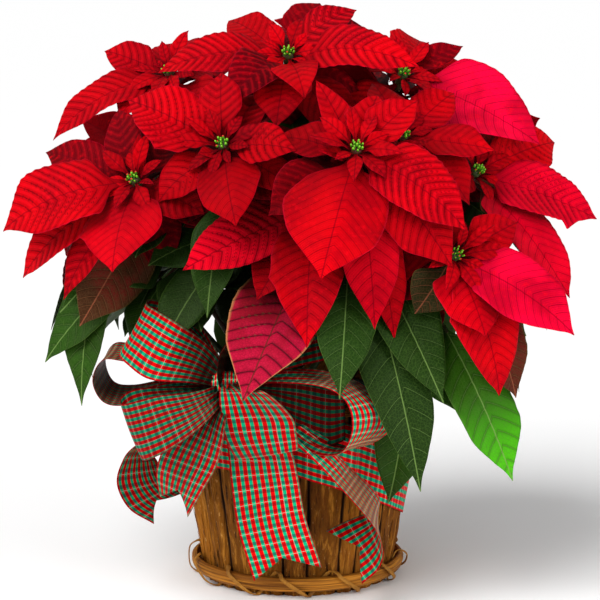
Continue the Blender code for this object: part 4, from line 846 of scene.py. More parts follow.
def sheet_quads(rows, columns, flip=False):
    """Faces of a grid of points, rows by columns."""
    first = np.arange((rows - 1) * columns).reshape(rows - 1, columns)[:, :-1].ravel()
    quads = np.stack([first, first + 1, first + columns + 1, first + columns], axis=1)
    return quads[:, ::-1] if flip else quads


def ring_faces(rings, sides, around=False):
    """Faces between rings of points; around also joins the last ring to the first."""
    i = np.arange(rings if around else rings - 1)[:, None]
    j = np.arange(sides)[None, :]
    here, after, k = i * sides, (i + 1) % rings * sides, (j + 1) % sides
    return np.stack([here + j, here + k, after + k, after + j], axis=2).reshape(-1, 4)


def closed_sheet(top, under):
    """One closed skin from two grids of the same size, joined round the rim."""
    rows, columns = top.shape[:2]
    size = rows * columns
    faces = [sheet_quads(rows, columns), sheet_quads(rows, columns, flip=True) + size]
    rim = np.concatenate([
        np.arange(columns), np.arange(1, rows) * columns + columns - 1,
        size - 2 - np.arange(columns - 1), np.arange(rows - 2, 0, -1) * columns])
    after = np.roll(rim, -1)
    faces.append(np.stack([rim, rim + size, after + size, after], axis=1))
    return np.concatenate([top.reshape(-1, 3), under.reshape(-1, 3)]), np.concatenate(faces)


def smooth_through(knots, values, at):
    """Values on a smooth line through the knots that doesn't overshoot."""
    knots, values = np.asarray(knots, float), np.asarray(values, float)
    steps = np.diff(values) / np.diff(knots)
    slopes = np.zeros(len(values))
    both = steps[1:] * steps[:-1] > 0
    slopes[1:-1][both] = 2 * steps[1:][both] * steps[:-1][both] / (steps[1:] + steps[:-1])[both]
    slopes[0], slopes[-1] = steps[0], steps[-1]
    i = np.clip(np.searchsorted(knots, at, side="right") - 1, 0, len(knots) - 2)
    h = knots[i + 1] - knots[i]
    t = (at - knots[i]) / h
    return (values[i] * (2 * t ** 3 - 3 * t ** 2 + 1) + values[i + 1] * (3 * t ** 2 - 2 * t ** 3)
            + h * slopes[i] * (t ** 3 - 2 * t ** 2 + t) + h * slopes[i + 1] * (t ** 3 - t ** 2))


def flowing(points, steps):
    """Points on a smooth curve through the given ones."""
    out = []
    for i in range(len(points) - 1):
        b, c = points[i], points[i + 1]
        a = points[i - 1] if i else b * 2 - c
        d = points[i + 2] if i + 2 < len(points) else c * 2 - b
        for k in range(steps):
            t = k / steps
            out.append(0.5 * ((2 * b) + (c - a) * t + (2 * a - 5 * b + 4 * c - d) * t * t
                              + (3 * b - a - 3 * c + d) * t ** 3))
    return out + [points[-1]]


# Blades: the same shapes as the solid part's, found again by their corner points
SHIFTS = [(0, 0, 1, 1)]
SHIFTS += [(n, 0, 1, 1) for n in (6, -6, 12, -12, 18, -18)]
SHIFTS += [(n, r, 1, 1) for r in (12, -12, 24, -24) for n in (0, 8, -8, 16, -16, 26, -26)]
SHIFTS += [(n, r, a, 1) for a in (0.4, 1.6, -0.3) for r in (0, 18, -18)
           for n in (0, 10, -10, 22, -22, 34, -34)]
SHIFTS += [(n, r, 1, s) for s in (0.9, 0.8, 0.68) for r in (0, 20, -20)
           for n in (0, 12, -12, 26, -26, 42, -42)]
SHIFTS += [(n, r, a, s) for s in (0.58, 0.46) for a in (1, 0.3) for r in (0, 30, -30)
           for n in (0, 14, -14, 30, -30, 48, -48)]
STEM_LEANS = [Vector((x, y, z)) * MM for z in (0, -14, 14) for x in (0, 10, -10, 20, -20, 32, -32)
              for y in (0, 10, -10, 20, -20, 32, -32)]


def curve_point(a, b, c, t):
    return a * (1 - t) ** 2 + b * 2 * t * (1 - t) + c * t * t


def shifted(spec, shift):
    kind, base, tip, wide, arch, roll, face, seed = spec
    near, more_roll, more_arch, share = shift
    tip = tip + (EYE - tip).normalized() * near * MM
    tip = base + (tip - base) * share
    return (kind, base, tip, wide * (0.5 + 0.5 * share), arch * more_arch,
            roll + more_roll, face, seed)


def stations(blade):
    """Share along, half widths and folds at each cross section of the solid part's blade."""
    kind, _, _, wide, _, _, _, seed = blade
    rng = random.Random(seed)
    rows = []
    shares = ((0.0, 0.06),) + OUTLINES[kind]
    if wide < SMALL_BLADE:
        shares = shares[:2] + shares[3:]
    for t, share in shares:
        half = max(share * wide * 0.5, LEAST_HALF)
        left = half * (1 + rng.uniform(-0.09, 0.09))
        right = half * (1 + rng.uniform(-0.09, 0.09))
        if share > 0.5:
            fold_l, fold_r = rng.uniform(0.02, 0.22) * half, rng.uniform(0.02, 0.22) * half
        else:
            fold_l = fold_r = 0.08 * half
        rows.append((t, left, right, fold_l, fold_r))
    return rows


def spine(blade, t):
    """Point, direction, upward and sideways at a share along a blade."""
    _, base, tip, _, arch, roll, face, _ = blade
    span = tip - base
    ahead = span.normalized()
    lift = (face - ahead * face.dot(ahead)).normalized()
    bend = base + span * 0.5 + lift * span.length * arch * 2.0
    point = curve_point(base, bend, tip, t)
    along = ((bend - base) * (1 - t) + (tip - bend) * t).normalized()
    up = Matrix.Rotation(math.radians(roll), 3, ahead) @ (lift - along * lift.dot(along)).normalized()
    up = (up - along * up.dot(along)).normalized()
    return point, along, up, along.cross(up)


def corner_points(blade):
    points = [blade[2]]
    for t, left, right, fold_l, fold_r in stations(blade)[1:]:
        p, _, up, side = spine(blade, t)
        points += [p - side * left + up * fold_l, p + side * right + up * fold_r]
    return points


def node_points(name):
    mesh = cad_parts[name].data
    tree = KDTree(len(mesh.vertices))
    for v in mesh.vertices:
        tree.insert(v.co, v.index)
    tree.balance()
    return tree


def matches(tree, points):
    return sum(tree.find(p)[2] < SAME_PLACE for p in points)


def found_blade(tree, spec):
    """The blade as the solid part has it, or None where it left it out."""
    best, most = None, 3
    for shift in SHIFTS:
        blade = shifted(spec, shift)
        if tree.find(blade[2])[2] > SAME_PLACE:
            continue
        count = matches(tree, corner_points(blade))
        if count > most:
            best, most = blade, count
    return best


def round_points(path, radius, sides):
    """The solid part's corner points of a stem."""
    points, side = [], None
    for i, p in enumerate(path):
        ahead = (path[min(i + 1, len(path) - 1)] - path[max(i - 1, 0)]).normalized()
        if side is None:
            side = ahead.orthogonal().normalized()
        side = (side - ahead * side.dot(ahead)).normalized()
        other = ahead.cross(side)
        points += [p + (side * math.cos(TURN * k / sides)
                        + other * math.sin(TURN * k / sides)) * radius for k in range(sides)]
    return points


def bloom_frame(name):
    """Heart, facing, side and other side of a bloom."""
    face = Vector(BLOOMS[name][2]).normalized()
    side = face.orthogonal().normalized()
    return seen(BLOOMS[name][1]), face, side, face.cross(side)


def toward(side, other, turn):
    return side * math.cos(turn) + other * math.sin(turn)


def stem_path(bloom_name, lean):
    """A stem from its trunk to the heart of its bloom."""
    trunk_name = BLOOMS[bloom_name][0]
    heart, face, _, _ = bloom_frame(bloom_name)
    top = Vector(TRUNKS[trunk_name][1]) * MM
    last = heart - face * 30 * MM
    end = last - face * 9 * MM
    rank = [name for name, bloom in BLOOMS.items() if bloom[0] == trunk_name].index(bloom_name)
    flat = Vector((end.x - top.x, end.y - top.y, 0))
    start = top + flat.normalized() * (TRUNK_R + STEM_R + GAP) + Vector((0, 0, -(5 + 8.5 * rank) * MM))
    bend = Vector((start.x * 0.45 + end.x * 0.55, start.y * 0.45 + end.y * 0.55,
                   start.z * 0.55 + end.z * 0.45)) + lean
    return [curve_point(start, bend, end, t) for t in (0, 0.3, 0.65, 1.0)] + [last]


def found_stem(bloom_name):
    tree = node_points(f"leafy_stem_{bloom_name}")
    ways = [stem_path(bloom_name, lean) for lean in STEM_LEANS]
    return max(ways, key=lambda path: matches(tree, round_points(path, STEM_R, 5)))


def along_path(path, share):
    place = share * (len(path) - 1)
    i = min(int(place), len(path) - 2)
    return path[i].lerp(path[i + 1], place - i), (path[i + 1] - path[i]).normalized()


def spread_blades(name):
    """The blades of a bloom: those laid out, and a shaded one in the widest gap."""
    heart, face, side, other = bloom_frame(name)
    specs, turns = [], []
    for i, (kind, place, wide, arch, roll) in enumerate(BLOOMS[name][3]):
        root = heart - face * (5 + 1.4 * i) * MM
        tip = seen(place)
        out = tip - root
        out = (out - face * out.dot(face)).normalized()
        turns.append(math.atan2(out.dot(other), out.dot(side)) % TURN)
        specs.append((kind, root + out * 4 * MM, tip, wide * MM, arch, roll, face, f"{name} {i}"))
    turns.sort()
    gap, start = max(((turns[(i + 1) % len(turns)] - a) % TURN, a) for i, a in enumerate(turns))
    rng = random.Random(f"shade {name}")
    out = toward(side, other, start + gap / 2)
    root = heart - face * (6 + 1.4 * len(specs)) * MM
    long = rng.uniform(62, 84) * MM
    tip = root + out * long - face * long * rng.uniform(0.15, 0.45) - Vector((0, 0, 0.12 * long))
    wide = rng.uniform(40, 50) * MM
    return specs + [(RED, root + out * 4 * MM, tip, wide, 0.12, 0.0, face, f"{name} shade 0")]


def young_bracts(name):
    """Small new bracts standing round the buds, between the grown ones."""
    heart, face, side, other = bloom_frame(name)
    rng = random.Random(f"young {name}")
    turn, specs = rng.uniform(0, TURN), []
    for k in range(YOUNG_BRACTS):
        turn += TURN / YOUNG_BRACTS * rng.uniform(0.82, 1.18)
        out = toward(side, other, turn)
        long = rng.uniform(19, 38) * MM
        lift = rng.uniform(0.05, 0.50)
        root = heart + out * 5.2 * MM - face * rng.uniform(1.5, 4.0) * MM
        tip = root + out * long + face * long * lift
        wide = long * rng.uniform(0.36, 0.50)
        specs.append((RED, root, tip, wide, 0.10, rng.uniform(-25, 25), face, f"{name} young {k}"))
    return specs


def shade_filling_blades(name):
    """Dark blades close under the bracts, which fill the crown between the blooms with painted shade."""
    heart, face, side, other = bloom_frame(name)
    heart = heart - face * 21 * MM
    rng = random.Random(f"under {name}")
    turn, specs = rng.uniform(0, TURN), []
    for k in range(UNDER_LEAVES):
        turn += TURN / UNDER_LEAVES * rng.uniform(0.85, 1.15)
        out = toward(side, other, turn)
        long = rng.uniform(48, 62) * MM
        root = heart + out * 3 * MM - face * 1.5 * k * MM
        drop = rng.uniform(0.15, 0.4) if k % 2 else rng.uniform(0.7, 1.0)
        tip = root + out * long - face * long * drop
        specs.append((RED, root, tip, rng.uniform(36, 42) * MM, 0.10, 0.0, face, f"{name} under {k}"))
    return specs


def inner_leaves(name, path):
    """Leaves in the shade lower down each stem, deep inside the crown, given the darkest tone as painted
    shade.
    """
    rng = random.Random(f"inner {name}")
    specs = []
    for k in range(INNER_LEAVES):
        root = path[int(len(path) * (0.36 + 0.13 * k))]
        turn = math.atan2(root.y, root.x) + rng.uniform(-1.1, 1.1)
        flat = Vector((math.cos(turn), math.sin(turn), 0.0))
        hang = 0.85 - 0.25 * k
        tip = root + (flat * (1.2 - hang) - Vector((0, 0, hang))).normalized() * rng.uniform(50, 64) * MM
        face = (flat + Vector((0, 0, 0.35))).normalized()
        specs.append((GREEN, root, tip, rng.uniform(34, 42) * MM, 0.10, 0.0, face, f"{name} under inner {k}"))
    return specs


def spread_leaves(stem, path):
    """The leaves of a stem: those laid out, and a few more by rule."""
    specs = []
    for i, (kind, bearer, share, column, row, near, wide, arch, *roll) in enumerate(LEAVES):
        if bearer == stem:
            specs.append((kind, share, seen((column, row, near)), wide * MM, arch, sum(roll), f"leaf {i}"))
    rng = random.Random(f"leaves {stem}")
    turn = rng.uniform(0, TURN)
    for k in range(RULE_LEAVES):
        turn += 2.4
        share = 0.5 + 0.3 * k
        root, _ = along_path(path, share)
        way = Vector((math.cos(turn), math.sin(turn), 0))
        way = (way + Vector((root.x, root.y, 0)) * 6).normalized()
        long = rng.uniform(78, 100) * MM
        tip = root + way * long - Vector((0, 0, rng.uniform(0.0, 0.35) * long))
        specs.append((GREEN, share, tip, rng.uniform(44, 56) * MM, 0.14, 0.0, f"rule leaf {stem} {k}"))
    blades = []
    for kind, share, tip, wide, arch, roll, seed in specs:
        root, along = along_path(path, share)
        out = tip - root
        side = (out - along * out.dot(along)).normalized()
        outward = Vector((tip.x, tip.y, 0)).normalized()
        front = max(0.0, min(1.0, -tip.y / 0.09))
        face = outward * (0.7 - 0.5 * front) + Vector((0, -0.75 * front, 0.6))
        blades.append((kind, root + side * 1.0 * MM, tip, wide, arch, roll, face.normalized(), seed))
    return blades


def by_blade(**groups):
    """One value for each named blade, from numbered values for each bloom."""
    return {f"{name} {i}": value for name, values in groups.items() for i, value in values.items()}


# Crimping between the side veins, ridge along the midrib and tone, for blades seen plainly.
# Teeth: place along the blade, margin and size.
CRIMPED = by_blade(
    top={0: 1.7, 2: 1.9, 4: 2.0, 1: 0.5}, upper_left={0: 1.9, 1: 1.2, 3: 2.1, 4: 0.35},
    left={0: 1.5, 1: 1.6, 2: 0.35, 4: 1.2}, centre={0: 0.3, 1: 1.7, 2: 0.8, 3: 0.55, 4: 0.5},
    low_front={0: 2.3, 1: 0.5, 2: 0.6}, right_lower={0: 0.4, 1: 0.5, 2: 0.4}, rear_right={0: 0.4, 1: 0.5},
    right={0: 1.4, 1: 0.5}, rear_left={1: 1.3, 0: 1.2}, leaf={12: 1.1, 0: 0.9, 10: 0.5, 14: 0.9})
RIDGED = by_blade(
    centre={0: 0.42, 3: 0.24, 2: 0.16, 4: 0.2}, left={2: 0.22}, upper_left={4: 0.26}, right_lower={0: 0.28})
# Tone: the blade's own colour, from maroon through scarlet to rose. Some low tones, such as top 6, follow
# blades that lie in shade, so they hold painted shade; low_front 0's tone of 1.7 is painted light that lifts
# a bract in shade to the scarlet of a lit one.
TONES = by_blade(
    top={0: 0.36, 1: 0.16, 2: 0.26, 3: 0.06, 4: 0.52, 5: 0.72, 6: 0.02, 7: 0.3, 9: 0.05},
    upper_left={0: 0.44, 1: 0.38, 3: 0.5, 4: 0.46, 8: 0.3},
    left={0: 0.56, 1: 0.58, 2: 0.62, 3: 0.1, 5: 0.08, 8: 0.12},
    centre={0: 0.52, 1: 0.56, 2: 0.34, 3: 0.66, 4: 0.4, 6: 0.45}, low_front={0: 1.7, 1: 0.42, 2: 0.4},
    right_lower={0: 0.6, 1: 0.5, 2: 0.86, 5: 0.02, 6: 0.34}, rear_right={0: 1.1, 1: 0.1},
    right={0: 0.74, 1: 0.72, 5: 0.3}, rear_left={1: 0.4, 0: 0.4},
    leaf={0: 0.2, 12: 1.0, 1: 0.22, 2: 0.16, 3: 0.42, 4: 0.66, 5: 0.6, 6: 0.4, 10: 0.05, 11: 0.18,
          14: 1.0, 17: 0.74})
TOOTHED = {"right 0": ((0.80, 1, 0.16),), "right 1": ((0.86, 1, 0.18),), "top 1": ((0.35, -1, 0.22),)}


def blade_lines(blade, count):
    """Shares along a blade, with its half widths and folds at each."""
    rows = stations(blade)
    start = STALK_SHARE if blade[0] == GREEN else 0.0
    t = start + (1 - start) * np.linspace(0, 1, count) ** 0.96
    knots = [row[0] for row in rows]
    halves = [smooth_through(knots + [0.955, 1.0], [r[k] for r in rows] + [rows[-1][k] * 0.30, 0.2 * MM], t)
              for k in (1, 2)]
    folds = [smooth_through(knots + [1.0], [r[k] for r in rows] + [0.0], t) for k in (3, 4)]
    return t, halves, folds


def blade_teeth(blade, rng, t, halves):
    """Adds a pointed tooth to one margin of some bracts."""
    kind, wide, seed = blade[0], blade[3], blade[7]
    teeth = list(TOOTHED.get(seed, ()))
    if not teeth and kind == RED and wide > 40 * MM and rng.random() < 0.4:
        teeth = [(rng.uniform(0.34, 0.62), rng.choice((-1, 1)), rng.uniform(0.05, 0.10))]
    for at, which, size in teeth:
        margin = 0 if which < 0 else 1
        halves[margin] = halves[margin] + size * wide * np.clip(1 - np.abs(t - at) / 0.07, 0, 1) ** 1.3


def blade_grid(blade, bundle):
    """A thin leaf blade with sunken veins, puckers and a waved margin."""
    kind, base, tip, wide, _, _, _, seed = blade
    rng = random.Random("fine " + seed)
    large = wide > LARGE_BLADE and (seed in CRIMPED or seed in TONES)
    plain = wide < PLAIN_BLADE or "under" in seed
    line_count, columns = LARGE_GRID if large else PLAIN_GRID if plain else BLADE_GRID
    t, halves, folds = blade_lines(blade, line_count)
    blade_teeth(blade, rng, t, halves)
    frames = [spine(blade, min(x, 1.0)) for x in t]
    point, _, up, side = (np.array([list(f[k]) for f in frames])[:, None, :] for k in range(4))
    v = np.linspace(-1, 1, columns)
    far = np.abs(v)
    grid_t = t[:, None] + 0 * v

    # Veins: their number, slant and phase at each point
    long = (tip - base).length
    veins = max(6.0, min(14.0, long / VEIN_APART))
    slant = 0.5 * wide / max(long, 1e-6) * 0.82
    stagger = 0.5 * np.clip(far / 0.12, 0, 1) * (v < 0)
    wobble = 0.10 * np.sin(9 * grid_t + rng.uniform(0, 6)) * far
    width = np.where(v < 0, halves[0][:, None], halves[1][:, None])
    taper = np.clip(width / max(0.5 * wide, 1e-6), 0.0, 1.1)
    phase = (grid_t - slant * far ** 1.3 * taper) * veins + stagger + wobble + rng.random()
    beat = np.abs((phase + 0.5) % 1 - 0.5)

    # Height over the flat blade
    crimp = CRIMPED.get(seed, rng.uniform(0.5, 1.1)) * (0.8 if kind == GREEN else 1.0)
    size = np.clip(width / (26 * MM), 0.05, 1.2)
    deep = 0.95 * MM * crimp * size
    pucker = deep * (1 - np.exp(-(beat / 0.26) ** 2)) * np.clip((1.02 - far) / 0.3, 0.08, 1)
    rib = -1.0 * MM * size * np.exp(-(far * width / (2.2 * MM)) ** 2)
    lobes = 0.36 * MM * crimp * size * far ** 4 * np.cos(TURN * phase)
    waves = rng.uniform(1.2, 1.9) * grid_t + np.where(v < 0, rng.random(), rng.random())
    wave = 2.4 * MM * size * far ** 2.2 * np.sin(TURN * waves)
    fold = np.where(v < 0, folds[0][:, None], folds[1][:, None]) * far ** 1.5
    curl = -np.clip((grid_t - 0.8) / 0.2, 0, 1) ** 2 * rng.uniform(0.0, 3.0) * MM
    ridge = -RIDGED.get(seed, 0.0) * width * far * np.sin(np.pi * np.clip(grid_t, 0, 1))
    height = (fold + pucker + rib + ridge + lobes * np.clip((1 - grid_t) * 8, 0, 1) + wave + curl * 0.5
              - deep * 0.4)
    scallop = 1 + 0.004 * np.cos(TURN * phase) * np.clip(size, 0, 1)

    # Upper and lower skin
    top = point + side * (v * width * scallop)[..., None] + up * height[..., None]
    normal = np.cross(np.gradient(top, axis=1), np.gradient(top, axis=0))
    normal /= np.maximum(np.linalg.norm(normal, axis=2, keepdims=True), 1e-12)
    if float((normal * up).sum()) < 0:
        normal = -normal
    thick = 0.26 * MM + 1.0 * MM * np.exp(-(far * width / (1.3 * MM)) ** 2) * (1 - grid_t)
    verts, quads = closed_sheet(top, top - normal * thick[..., None])
    tone = TONES.get(seed, rng.uniform(0.25, 0.55) if kind == RED else rng.uniform(0.1, 0.6))
    # Blades that fill the crown, whose seeds hold under, take the darkest tone as painted shade between the
    # blooms
    if "under" in seed:
        tone = 0.0
    elif "rule leaf" in seed and base.z > HIGH_LEAVES:
        tone = 0.14
    lay = stacked(grid_t, v, phase).reshape(-1, 3)
    tint = stacked(tone, min(crimp, 1.8) * 0.1, far * width / MM).reshape(-1, 3)
    lower = tint.copy()
    lower[:, 1] = 1.0
    bundle.add(verts, quads, blade=np.concatenate([lay, lay]), tint=np.concatenate([tint, lower]))


def weld(obj, distance=1e-6):
    """Closes poles that are rings of equal points."""
    bm = bmesh.new()
    bm.from_mesh(obj.data)
    bmesh.ops.remove_doubles(bm, verts=bm.verts, dist=distance)
    bmesh.ops.dissolve_degenerate(bm, edges=bm.edges, dist=distance * 0.1)
    bmesh.ops.recalc_face_normals(bm, faces=bm.faces)
    bm.to_mesh(obj.data)
    bm.free()
    return obj


def stalks_piece(name, growth, lines, sides):
    """Round stalks as one piece: each line a list of points and a list of radii."""
    thick = np.concatenate([radii for _, radii in lines])
    return grown(lines_object(name, [points for points, _ in lines], {"thick": thick}), growth, Sides=sides)


def dress_plant(finishes):
    """Bracts, leaves and stalks of each bloom, where the solid part has them."""
    growth = stalk_growth(finishes["stem"])
    kinds = (
        (RED, "bracts", "bract", "bract", "bloom"),
        (TURNING, "turning_bracts", "turning", "bract", "bloom"),
        (GREEN, "leaves", "leaf", "leaf", "leafy_stem"),
        ("turning_leaf", "turning_leaves", "turning", "leaf", "leafy_stem"),
    )
    for name in BLOOMS:
        bloom_tree = node_points(f"bloom_{name}")
        stem_tree = node_points(f"leafy_stem_{name}")
        path = found_stem(name)
        main = flowing(path, 6)
        bundles = {row[0]: Bundle() for row in kinds}
        blades = [found_blade(bloom_tree, spec) for spec in spread_blades(name)]
        blades += young_bracts(name) + shade_filling_blades(name) + inner_leaves(name, main)
        for blade in filter(None, blades):
            blade_grid(blade, bundles[blade[0]])
        lines = [(main, [STEM_R * (0.86 + 0.06 * math.sin(i * 2.1)) for i in range(len(main))])]
        for spec in spread_leaves(name, path):
            blade = found_blade(stem_tree, spec)
            if blade is None:
                continue
            high = blade[2].z > HIGH_LEAVES and "rule" in blade[7]
            blade_grid(blade, bundles[RED if high else GREEN if blade[0] == GREEN else "turning_leaf"])
            root = [spine(blade, 0.03 * k)[0] for k in range(0, 9 if blade[0] == GREEN else 4)]
            lines.append((root, [LEAF_STALK_R] * len(root)))
        heart, face, _, _ = bloom_frame(name)
        lines.append(([heart - face * deep * MM for deep, _ in HEART_CORE], [r * MM for _, r in HEART_CORE]))
        finish_piece(stalks_piece(f"stalks_{name}", growth, lines, 10), "leaf", f"leafy_stem_{name}")
        for key, title, finish, slot, node in kinds:
            if bundles[key].count:
                finish_piece(bundles[key].piece(f"{title}_{name}", finishes[finish]), slot, f"{node}_{name}")


# Ribbon
def cross_lines(rows):
    lines = []
    for column, row, near, other_column, other_row, lean in rows:
        a = seen((column, row, near))
        flat = seen((other_column, other_row, near)) - a
        depth = math.sqrt(max(0.0, RIBBON_WIDE ** 2 - flat.length ** 2))
        lines.append((a, a + flat + TOWARD * depth * lean))
    return lines


def ribbon_strip(name, rows, finishes):
    """One loop or tail of the bow: thin cloth, pleated where the knot gathers it."""
    lines = cross_lines(rows)
    edge_a, edge_b = (np.array([list(p) for p in flowing([line[k] for line in lines], 9)]) for k in (0, 1))
    v = np.linspace(0, 1, 33)
    middle = (edge_a + edge_b) / 2
    steps = np.concatenate([[0], np.cumsum(np.linalg.norm(np.diff(middle, axis=0), axis=1))])
    way = np.gradient(middle, axis=0)
    way /= np.linalg.norm(way, axis=1, keepdims=True)
    width = np.linalg.norm(edge_b - edge_a, axis=1)
    normal = np.cross(way, edge_b - edge_a)
    normal /= np.linalg.norm(normal, axis=1, keepdims=True)

    # Pleats take up the width that the gathers leave spare
    spare = np.clip(RIBBON_WIDE - width, 0, None)
    pleat = np.minimum(spare / 13.0, 3.0 * MM)
    base = edge_a[:, None, :] * (1 - v)[None, :, None] + edge_b[:, None, :] * v[None, :, None]
    lift = pleat[:, None] * np.sin(TURN * 3.0 * v)
    cup = 1.2 * MM * np.sin(steps / 0.021 + len(rows))[:, None] * (np.sin(np.pi * v) - 0.5)
    ends = np.clip(np.minimum(steps, steps[-1] - steps) / 0.02, 0, 1)[:, None]
    mid = base + normal[:, None, :] * (lift + cup * ends)[..., None]

    # Painted shade near the knot, over whole strips and on the inner face of the loops
    near = np.linalg.norm(middle - np.array(list(seen(KNOT))), axis=1)
    shade = np.clip(1.2 * np.exp(-(near / KNOT_SHADE) ** 2), 0, 0.95)[:, None]
    shade = np.maximum(shade, SHADED.get(name, 0.0))
    inward = middle.mean(axis=0) - middle
    inward /= np.maximum(np.linalg.norm(inward, axis=1, keepdims=True), 1e-9)
    facing = (normal * inward).sum(axis=1)[:, None]
    # Weight of the painted shade on the inner face of loops and tails
    inside_shade = 0.35 if name in TAILS_NOTCHED else 0.66
    at = steps[:, None] + 0 * v
    if name in TAILS_NOTCHED:
        cut = (1 - np.abs(2 * v - 1)) * NOTCH_DEEP
        at = steps[:, None] * ((steps[-1] - cut) / steps[-1])
        for c in range(len(v)):
            for k in range(3):
                mid[:, c, k] = np.interp(at[:, c], steps, mid[:, c, k].copy())
    half = normal[:, None, :] * RIBBON_THICK / 2
    verts, quads = closed_sheet(mid + half, mid - half)
    sides = [stacked(v * RIBBON_WIDE, at, np.maximum(shade, inside_shade * np.clip(turn * facing * 2.2, 0, 1)))
             for turn in (1, -1)]
    bundle = Bundle()
    bundle.add(verts, quads, cloth=np.concatenate([side.reshape(-1, 3) for side in sides]))
    obj = weld(bundle.piece(f"ribbon_{name}", finishes["ribbon"]), 1e-7)
    finish_piece(obj, "plaid_ribbon", "ribbon_bow")


def knot(finishes):
    """The wrapped middle that gathers the loops."""
    centre = np.array(list(seen(KNOT)))
    turns, columns = 28, 15
    u = np.linspace(0, TURN, turns, endpoint=False)[:, None]
    s = np.linspace(-1, 1, columns)
    radius = KNOT_R * np.sqrt(np.clip(1 - 0.55 * s ** 2, 0, 1)) + 0.8 * MM * np.sin(5 * np.pi * s)
    ring = stacked(14 * MM * s, radius * np.cos(u), radius * np.sin(u)) + centre
    ends = [np.tile(centre + [x, 0, 0], (turns, 1))[:, None, :] for x in (-12 * MM, 12 * MM)]
    ring = np.concatenate([ends[0], ring, ends[1]], axis=1)
    columns += 2
    across = np.concatenate([[0], np.linspace(0, RIBBON_WIDE, columns - 2), [RIBBON_WIDE]])
    bundle = Bundle()
    bundle.add(ring.reshape(-1, 3), sheet_quads(turns + 1, columns) % (turns * columns),
               cloth=stacked(across, u * 13 * MM, 0.0).reshape(-1, 3))
    finish_piece(weld(bundle.piece("ribbon_knot", finishes["ribbon"])), "plaid_ribbon", "ribbon_bow")


def wrap_height(turn):
    lift = math.cos(turn - WRAP_HIGH_SIDE)
    if lift > 0.5:
        lift = 0.5 + (lift - 0.5) * 0.15
    return WRAP_MID_Z + WRAP_RISE * lift


def wrap_radius(z, turn):
    rise = max(0.0, min(1.0, math.cos(turn - WRAP_HIGH_SIDE) / 0.11))
    rise = rise * rise * (3 - 2 * rise)
    return SLAT_FOOT_R + SLAT_FLARE * z + 2.0 * MM + 12.5 * MM * rise


def wrap(finishes):
    """Ribbon once round the basket."""
    turns, columns = 160, 25
    rows, lay, run = [], [], 0.0
    for i in range(turns + 1):
        a = TURN * i / turns
        mid = wrap_height(a)
        if i:
            run += TURN / turns * wrap_radius(mid, a)
        for k in range(columns):
            v = k / (columns - 1)
            z = mid + (v - 0.5) * RIBBON_WIDE
            ease = 0.5 * MM * math.sin(a * 23 + 5 * v) * math.sin(a * 7 + 2)
            r = wrap_radius(0, a) + SLAT_FLARE * z + 0.5 * MM + ease
            rows.append((r * math.cos(a), r * math.sin(a), z))
            lay.append((v * RIBBON_WIDE, run, 0.0))
    mid = np.array(rows).reshape(turns + 1, columns, 3)
    out = mid * (1, 1, 0)
    out /= np.linalg.norm(out, axis=2, keepdims=True)
    half = out * RIBBON_THICK / 2
    bundle = Bundle()
    bundle.add(*closed_sheet(mid + half, mid - half), cloth=np.array(lay + lay))
    obj = weld(bundle.piece("ribbon_round_basket", finishes["ribbon"]), 1e-7)
    finish_piece(obj, "plaid_ribbon", "ribbon_wrap")


# Basket
def slat_angles():
    """Start, turn, stand-out and top of each slat."""
    rng = random.Random(7)
    widths = [rng.uniform(0.72, 1.3) for _ in range(SLATS)]
    total = sum(widths)
    start = 0.0
    slats = []
    for w in widths:
        slats.append((start, w / total * 2 * math.pi, rng.uniform(-1.0, 1.0), rng.uniform(-1.6, 1.2)))
        start += w / total * 2 * math.pi
    return slats


def slat_ring(rng, bundle, start, turn, proud, top):
    """One slat, a rounded strip of bark with its own grooves and splits."""
    z = np.linspace(0, 1, 84)[:, None] * (BASKET_HIGH + top * MM)
    v = np.linspace(-1, 1, 15)[None, :]
    edge = 0.485 + 0.012 * np.sin(z * 70 + proud * 9) + 0.008 * np.sin(z * 190 + proud * 5)
    a = start + turn * (0.5 + edge * v)
    crown = (0.4 + 0.5 * proud - 2.6 * np.abs(v) ** 3.5) * MM
    ridges = sum(rng.uniform(0.15, 0.45) * MM * np.sin(v * f + z * rng.uniform(-30, 30) + rng.uniform(0, 6))
                 for f in (5, 9, 14))
    run = v - rng.uniform(-0.4, 0.4) - 0.10 * np.sin(z * 30)
    split = -1.5 * MM * np.exp(-(run / 0.10) ** 2)
    split = split * np.clip(np.sin(z * rng.uniform(14, 26) + rng.uniform(0, 6)) * 2, 0, 1)
    knots = 0.5 * MM * np.sin(z * 60 + rng.uniform(0, 6)) * np.sin(z * 143 + v * 2)
    wall = SLAT_FOOT_R + SLAT_FLARE * z
    r = wall + crown + (ridges + split) * (1 - v ** 6) + knots
    skins = [stacked(radius * np.cos(a), radius * np.sin(a), z) for radius in (r, wall - SLAT_THICK)]
    lay = stacked(z, v, rng.random()).reshape(-1, 3)
    bundle.add(*closed_sheet(*skins), grain=np.concatenate([lay, lay]))


def faces_in(face):
    """Whether a face of the slats looks inward, or lies under the foot hoop."""
    middle = face.calc_center_median()
    outward = Vector((middle.x, middle.y, 0)).normalized()
    return face.normal.dot(outward) < 0.6 or middle.z < FIBRES_FROM


